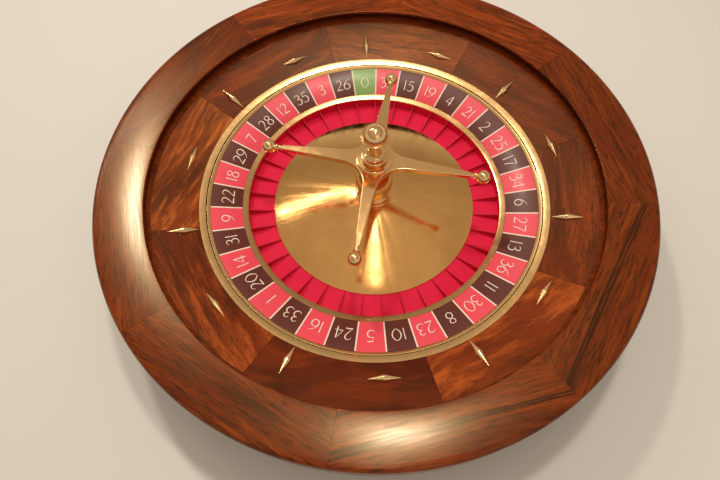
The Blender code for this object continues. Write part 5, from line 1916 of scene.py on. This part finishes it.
@dataclass
class Turret(SubAssembly):
    """Brass turret: column, four-armed handle, collar and finial."""

    body: str = "wheel_head"
    steps: int = 96
    foot_height: float = 0.0045
    foot_shoulder: float = 0.0016
    foot_round: float = 0.0012
    foot_chamfer: float = 0.0008
    step_radii: Point = (0.0245, 0.0247)
    step_rises: Point = (0.0014, 0.0003)
    column_bead: float = 0.00175
    column_bead_radius: float = 0.0258
    column_bead_lift: float = 0.0020
    barrel_gap: float = 0.0006
    barrel_foot: Point = (0.0252, 0.0003)
    barrel_low_radius: float = 0.0245
    barrel_radius: float = 0.0278
    barrel_high_radius: float = 0.0215
    barrel_belly: float = 0.30
    barrel_steps: int = 24
    cap_height: float = 0.0040
    cap_radius: float = 0.0237
    cap_round: float = 0.0008
    arm_deg: float = -8.4
    arm_count: int = 4
    ball_reach: float = 0.1542
    ball_radius: float = 0.0095
    root_half_width: float = 0.0095
    tip_half_width: float = 0.0035
    fillet_radius: float = 0.038
    arm_shares: tuple[float, ...] = (0.2, 0.4, 0.6, 0.8, 1.0)
    hub_thickness: float = 0.010
    tip_thickness: float = 0.0068
    top_drop: float = 0.0032
    tip_share: float = 0.88
    handle_round: float = 0.0011
    handle_merge: float = 0.00002
    end_steps: int = 40
    neck_overlap: float = 0.006
    neck_radius: float = 0.0031
    neck_flare: Point = (0.010, 0.0003)
    neck_ring_radius: float = 0.0038
    neck_ring_round: float = 0.0016
    neck_ring_gap: float = 0.0006
    neck_ring_lead: float = 0.0034
    seat: Point = (0.0004, 0.0040)
    seat_radius: float = 0.0042
    collar_rim: float = 0.0052
    collar_round: float = 0.0018
    collar_bead: float = 0.0020
    collar_bead_radius: float = 0.0175
    collar_waist: float = 0.0150
    collar_neck: Point = (0.0005, 0.0010)
    collar_fillet: float = 0.0024
    finial_neck: float = 0.0092
    finial_foot: float = 0.0150
    finial_foot_fillet: float = 0.0058
    finial_foot_height: float = 0.0062
    flange_height: float = 0.0375
    flange_thickness: float = 0.0032
    flange_round: float = 0.0014
    flange_under: Point = (0.0140, 0.0004)
    flare_radius: float = 0.0042
    flare_drop: float = 0.0048
    dome_radius: float = 0.0172
    dome_seat: Point = (0.0004, 0.0003)
    dome_steps: int = 14

    def build(self) -> None:
        """Builds every piece of the turret."""
        self.build_column()
        self.build_cross()
        self.build_collar()
        self.build_finial()

    def barrel(self, low: float, high: float) -> list[Point]:
        """Gives the column's side, which swells to its belly and narrows again.

        Args:
            low: Level of its lower end.
            high: Level of its upper end.

        Returns:
            The (radius, level) points, upwards.
        """
        swell = self.barrel_radius - self.barrel_low_radius
        shrink = self.barrel_radius - self.barrel_high_radius
        points = []
        for i in range(self.barrel_steps + 1):
            share = i / self.barrel_steps
            if share < self.barrel_belly:
                radius = self.barrel_low_radius + swell * math.sin(math.pi / 2.0 * share / self.barrel_belly)
            else:
                fall = (share - self.barrel_belly) / (1.0 - self.barrel_belly)
                radius = self.barrel_radius - shrink * (1.0 - math.cos(math.pi / 2.0 * fall))
            points.append((radius, low + (high - low) * share))
        return points

    def build_column(self) -> None:
        """Builds the barrel-shaped column with its stepped and beaded foot."""
        c = self.extent("turret_column")
        foot_top = c.low + self.foot_height
        bead = self.column_bead
        bead_level = foot_top + self.column_bead_lift + bead
        barrel_low = bead_level + bead + self.barrel_gap
        cap, top = self.cap_radius, self.cap_round
        cap_low = c.high - self.cap_height
        under, over = self.step_radii
        under_rise, over_rise = self.step_rises
        barrel_foot, barrel_drop = self.barrel_foot
        shoulder = self.foot_round
        profile = [
            (0.0, c.high),
            (cap, c.high),
            *arc((cap, c.high - top), top, 90.0, 0.0, points=4),
            *arc((cap, cap_low + top), top, 0.0, -90.0, points=4),
            *self.barrel(barrel_low, cap_low - self.barrel_gap)[::-1],
            (barrel_foot, barrel_low - barrel_drop),
            *arc((self.column_bead_radius, bead_level), bead, 80.0, -80.0, points=9),
            (under, foot_top + under_rise),
            (over, foot_top + over_rise),
            (c.outer - self.foot_shoulder, foot_top),
            *arc((c.outer - shoulder, foot_top - shoulder), shoulder, 80.0, 0.0, points=5),
            (c.outer, c.low + self.foot_chamfer),
            (c.outer - self.foot_chamfer, c.low),
            (0.0, c.low),
        ]
        self.mount(Bench.turn("column", profile, self.steps), BRASS, "brass", ["turret_column"])

    @property
    def arm_root(self) -> float:
        """Reach where the arms' fillets end."""
        return self.root_half_width + self.fillet_radius

    @property
    def arm_tip(self) -> float:
        """Reach where the flat arms end."""
        return self.ball_reach * self.tip_share

    def arm_edge(self) -> list[Point]:
        """Gives one side of an arm from the hub's diagonal to its tip.

        Returns:
            The (x, y) points.
        """
        root, tip = self.arm_root, self.arm_tip
        side = arc((root, root), self.fillet_radius, 225.0, 270.0, points=11)
        run = []
        for share in self.arm_shares:
            width = self.root_half_width + (self.tip_half_width - self.root_half_width) * share
            run.append((root + (tip - root) * share, width))
        return [(0.0, 0.0), *side, *run]

    def build_arm(self, top: float) -> bpy.types.Object:
        """Makes one flat arm of the handle along +X, thinner and lower towards its tip.

        Args:
            top: Level of the hub's top.

        Returns:
            The pattern of an arm.
        """
        arm = Bench.start("arm_pattern")
        edge = self.arm_edge()
        Bench.trace([Vector((x, y, top)) for x, y in edge], close=False)
        bpy.ops.mesh.select_all(action="SELECT")
        bpy.ops.mesh.extrude_edges_move(TRANSFORM_OT_translate={"value": (0.0, 0.0, 0.0)})
        bpy.ops.transform.resize(value=(1.0, -1.0, 1.0), center_override=(0.0, 0.0, top))
        bpy.ops.mesh.select_all(action="SELECT")
        bpy.ops.mesh.extrude_region_move(TRANSFORM_OT_translate={"value": (0.0, 0.0, -self.hub_thickness)})
        middle = top - self.hub_thickness / 2.0
        for place, _ in edge:
            share = (place - self.arm_root) / (self.arm_tip - self.arm_root)
            if share > 0.0:
                drop = -self.top_drop * min(share, 1.0)
                lift = drop + (self.hub_thickness - self.tip_thickness) * min(share, 1.0)
                self.shift_row(place, middle, False, lift)
                self.shift_row(place, middle, True, drop)
        return Bench.close(arm)

    @staticmethod
    def shift_row(place: float, middle: float, upper: bool, shift: float) -> None:
        """Lifts one row of the open arm's vertices, at a place along its upper or lower face."""
        Bench.select(lambda corner: abs(corner.x - place) < SAME_PLACE and (corner.z > middle) == upper)
        bpy.ops.transform.translate(value=(0.0, 0.0, shift))

    def build_arm_end(self, level: float) -> bpy.types.Object:
        """Makes the round neck, ring and ball at the end of an arm.

        Args:
            level: Level of the ball's middle.

        Returns:
            The pattern of an arm's end.
        """
        start = self.arm_tip - self.neck_overlap
        ball = self.ball_radius
        neck = self.neck_radius
        flare_length, flare_rise = self.neck_flare
        ring_round = self.neck_ring_round
        ring_place = self.ball_reach - ball - self.neck_ring_gap
        seat_gap, seat_radius = self.seat
        seat_deg = math.degrees(math.asin(self.seat_radius / ball))
        profile = [
            (start, 0.0),
            (start, neck + flare_rise),
            (start + flare_length, neck),
            (ring_place - self.neck_ring_lead, neck),
            *arc((ring_place - ring_round, self.neck_ring_radius), ring_round, 180.0, 0.0, points=7),
            (ring_place + seat_gap, seat_radius),
            *arc((self.ball_reach, 0.0), ball, 180.0 - seat_deg, 0.0, points=17),
        ]
        profile[-1] = (self.ball_reach + ball, 0.0)
        return Bench.turn("arm_end_pattern", profile, self.end_steps, axis=Axis.ALONG_X, level=level)

    def build_cross(self) -> None:
        """Builds the four-armed handle with a ball on each arm."""
        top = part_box("turret_cross")[1].z
        turns = [self.arm_deg + FULL_TURN * index / self.arm_count for index in range(self.arm_count)]
        end_level = top - self.top_drop - self.tip_thickness / 2.0
        arm = self.build_arm(top)
        ends = Bench.ring_of(self.build_arm_end(end_level), "handle_ends", turns)
        plate = Bench.ring_of(arm, "handle", turns)
        bpy.ops.object.mode_set(mode="EDIT")
        bpy.ops.mesh.select_all(action="SELECT")
        bpy.ops.mesh.remove_doubles(threshold=self.handle_merge)
        bpy.ops.mesh.select_all(action="DESELECT")
        bpy.ops.mesh.select_mode(type="FACE")
        bpy.ops.mesh.select_interior_faces()
        bpy.ops.mesh.delete(type="FACE")
        Bench.close(plate)
        Bench.soften(plate, self.handle_round, 4)
        self.mount(Bench.join([plate, ends], "handle"), BRASS, "brass", ["turret_cross"])

    def build_collar(self) -> None:
        """Builds the collar that clamps the handle, with a waist and a bead above."""
        c = self.extent("turret_collar")
        bead, bead_radius = self.collar_bead, self.collar_bead_radius
        waist, fillet, corner = self.collar_waist, self.collar_fillet, self.collar_round
        rim = c.low + self.collar_rim
        neck_out, neck_drop = self.collar_neck
        profile = [
            (0.0, c.high),
            (bead_radius, c.high),
            *arc((bead_radius, c.high - bead), bead, 90.0, -70.0, points=9),
            (waist + neck_out, c.high - 2.0 * bead - neck_drop),
            (waist, rim + fillet),
            *arc((waist + fillet, rim + fillet), fillet, 180.0, 265.0, points=6),
            *arc((c.outer - corner, rim - corner), corner, 88.0, 0.0, points=7),
            *arc((c.outer - corner, c.low + corner), corner, 0.0, -90.0, points=7),
            (0.0, c.low),
        ]
        self.mount(Bench.turn("collar", profile, self.steps), BRASS, "brass", ["turret_collar"])

    def build_finial(self) -> None:
        """Builds the slender neck that flares to a flange under a dome."""
        c = self.extent("turret_finial")
        neck, flare, foot_fillet = self.finial_neck, self.flare_radius, self.finial_foot_fillet
        flange_low = c.low + self.flange_height
        flange_high = flange_low + self.flange_thickness
        corner = self.flange_round
        under, under_drop = self.flange_under
        seat_out, seat_drop = self.dome_seat
        foot_top = c.low + self.finial_foot_height
        dome = []
        for i in range(1, self.dome_steps + 1):
            turn = math.pi / 2.0 * i / self.dome_steps
            level = flange_high + (c.high - flange_high) * math.cos(turn)
            dome.append((self.dome_radius * math.sin(turn), level))
        profile = [
            (0.0, c.high),
            *dome,
            (self.dome_radius + seat_out, flange_high - seat_drop),
            *arc((c.outer - corner, flange_high - corner), corner, 80.0, 0.0, points=6),
            *arc((c.outer - corner, flange_low + corner), corner, 0.0, -90.0, points=6),
            (under, flange_low - under_drop),
            *arc((neck + flare, flange_low - self.flare_drop), flare, 90.0, 180.0, points=8),
            (neck, foot_top),
            *arc((neck + foot_fillet, foot_top), foot_fillet, 180.0, 262.0, points=8),
            (self.finial_foot, c.low),
            (0.0, c.low),
        ]
        self.mount(Bench.turn("finial", profile, self.steps), BRASS, "brass", ["turret_finial"])


@dataclass
class Works(SubAssembly):
    """Hidden pieces that keep their frame meshes and take better finishes."""

    kept: dict[str, Finish] = field(
        default_factory=lambda: {
            "spindle_flange": STEEL,
            "spindle": STEEL,
            "bearing_inner_race": STEEL,
            "rotor_hub": STEEL,
            "bearing_outer_race": STEEL,
            "lower_bush": BRONZE,
            "bearing_cage": BRONZE,
            "rotor_base_disc": PLYWOOD,
            "rotor_outer_ring": BODY_WOOD,
        }
    )

    def build(self) -> None:
        """Dresses the hidden pieces."""
        for node, finish in self.kept.items():
            self.dress(node, finish)


# Studio


@dataclass(frozen=True)
class Lamp:
    """One soft panel lamp that looks at the wheel, its long side towards a second direction."""

    name: str
    azimuth_deg: float
    elevation_deg: float
    distance: float
    width: float
    length: float
    power: float
    towards: tuple[float, float] = (0.0, 90.0)
    colour: Colour = (1.0, 0.90, 0.76)

    def place(self, target: Vector) -> None:
        """Adds the lamp.

        Args:
            target: Point that it looks at.
        """
        data = bpy.data.lights.new(self.name, "AREA")
        data.shape = "RECTANGLE"
        data.size = self.width
        data.size_y = self.length
        data.energy = self.power
        data.color = self.colour
        lamp = bpy.data.objects.new(self.name, data)
        bpy.context.scene.collection.objects.link(lamp)
        back = direction(self.azimuth_deg, self.elevation_deg)
        lead = direction(*self.towards) - back
        along = (lead - back * lead.dot(back)).normalized()
        turn = Matrix((along.cross(back), along, back)).transposed()
        lamp.matrix_world = Matrix.Translation(target + back * self.distance) @ turn.to_4x4()


@dataclass
class Studio:
    """Camera, floor, world and lamps."""

    number_radius: float = 0.2529
    number_level: float = 0.0950
    distance_share: float = 3.33915
    elevation_deg: float = 58.6286
    roll_deg: float = -1.3098
    pan_deg: float = 1.3401
    tilt_deg: float = -5.1286
    lens_mm: float = 27.0154
    sensor_mm: float = 36.0
    near_clip: float = 0.01
    floor_size: float = 40.0
    floor_colour: Colour = (0.80, 0.79, 0.77)
    floor_roughness: float = 0.9
    zenith_colour: Colour = (0.64, 0.53, 0.40)
    horizon_colour: Colour = (0.11, 0.09, 0.07)
    backdrop_colour: Colour = (0.74, 0.71, 0.66)
    backdrop_top: float = 0.36
    backdrop_fade: float = 0.14
    zenith_height: float = 0.95
    world_strength: float = 0.86
    lamps: tuple[Lamp, ...] = (
        Lamp("key_lamp", 70.0, 87.0, 2.2, 0.09, 1.25, 3.3, (90.0, 60.0)),
        Lamp("front_rim_lamp", 75.5, 78.7, 2.2, 0.16, 0.16, 12.2, (90.0, 60.0)),
        Lamp("side_lamp", 137.0, 46.5, 2.4, 0.08, 0.90, 3.5, (146.4, 43.0)),
        Lamp("left_rim_lamp", 125.0, 57.0, 2.4, 0.15, 0.15, 13.6, (125.0, 90.0)),
        Lamp("fill_lamp", -60.0, 45.0, 3.2, 1.8, 1.8, 5.5, (-60.0, 80.0)),
    )

    def build(self) -> None:
        """Builds the studio round the wheel."""
        self.build_camera()
        self.build_floor()
        self.build_world()
        target = Vector((0.0, 0.0, self.number_level))
        for lamp in self.lamps:
            lamp.place(target)
        bpy.context.scene.view_settings.view_transform = "Standard"

    def build_camera(self) -> None:
        """Sets the camera to the photograph's own angle, distance and framing."""
        lift = math.radians(self.elevation_deg)
        reach = self.distance_share * self.number_radius
        offset = Vector((0.0, -reach * math.cos(lift), reach * math.sin(lift)))
        forward = -offset.normalized()
        right = Vector((1.0, 0.0, 0.0))
        up = right.cross(forward)
        level = Matrix((right, up, forward))
        aim = (
            Matrix.Rotation(math.radians(self.roll_deg), 3, "Z")
            @ Matrix.Rotation(math.radians(self.tilt_deg), 3, "X")
            @ Matrix.Rotation(math.radians(self.pan_deg), 3, "Y")
            @ level
        )
        turn = Matrix((aim[0], aim[1], -aim[2])).transposed()
        data = bpy.data.cameras.new("camera")
        data.sensor_width = self.sensor_mm
        data.lens = self.lens_mm
        data.clip_start = self.near_clip
        data.dof.use_dof = False
        camera = bpy.data.objects.new("camera", data)
        bpy.context.scene.collection.objects.link(camera)
        centre = Vector((0.0, 0.0, self.number_level))
        camera.matrix_world = Matrix.Translation(offset + centre) @ turn.to_4x4()
        bpy.context.scene.camera = camera

    def build_floor(self) -> None:
        """Lays the plain pale floor."""
        bpy.ops.object.select_all(action="DESELECT")
        bpy.ops.mesh.primitive_plane_add(size=self.floor_size, location=(0.0, 0.0, 0.0))
        floor = bpy.context.object
        floor.name = "studio_floor"
        plain = Recipe("studio_floor").finish(base_color=self.floor_colour, roughness=self.floor_roughness)
        floor.data.materials.append(plain)

    def build_world(self) -> None:
        """Builds the soft light that brightens overhead, with a pale backdrop low down.

        Only the camera and reflections see the backdrop, and it fades out upwards.
        """
        world = bpy.data.worlds.new("studio")
        bpy.context.scene.world = world
        world.use_nodes = True
        g = Graph(world.node_tree)
        background = g.tree.nodes["Background"]
        aim = g.node("ShaderNodeTexCoord", {}, {}).outputs["Generated"]
        height = Signal(g, g.node("ShaderNodeSeparateXYZ", {}, {0: aim}).outputs["Z"])
        overhead = height.spread(0.0, self.zenith_height, ease=Ease.LINEAR)
        sky = g.blend(overhead, self.horizon_colour, self.zenith_colour)
        paths = g.node("ShaderNodeLightPath", {}, {})
        seen = Signal(g, paths.outputs["Is Camera Ray"])
        for kind in ("Is Glossy Ray", "Is Transmission Ray"):
            seen = seen.greater(paths.outputs[kind])
        fade = height.spread(self.backdrop_top, self.backdrop_top + self.backdrop_fade, 1.0, 0.0, Ease.LINEAR)
        g.feed(background.inputs["Color"], g.blend(seen * fade, sky, self.backdrop_colour))
        background.inputs["Strength"].default_value = self.world_strength


def main() -> None:
    """Builds the studio and every sub-assembly round the frame."""
    logging.basicConfig(level=logging.INFO, format="%(name)s: %(message)s")
    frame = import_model()
    palette = Palette()
    Studio().build()
    Bowl(frame, palette).build()
    Feet(frame, palette).build()
    Deflectors(frame, palette).build()
    WheelHead(frame, palette).build()
    Turret(frame, palette).build()
    Works(frame, palette).build()


if __name__ == "__main__":
    main()
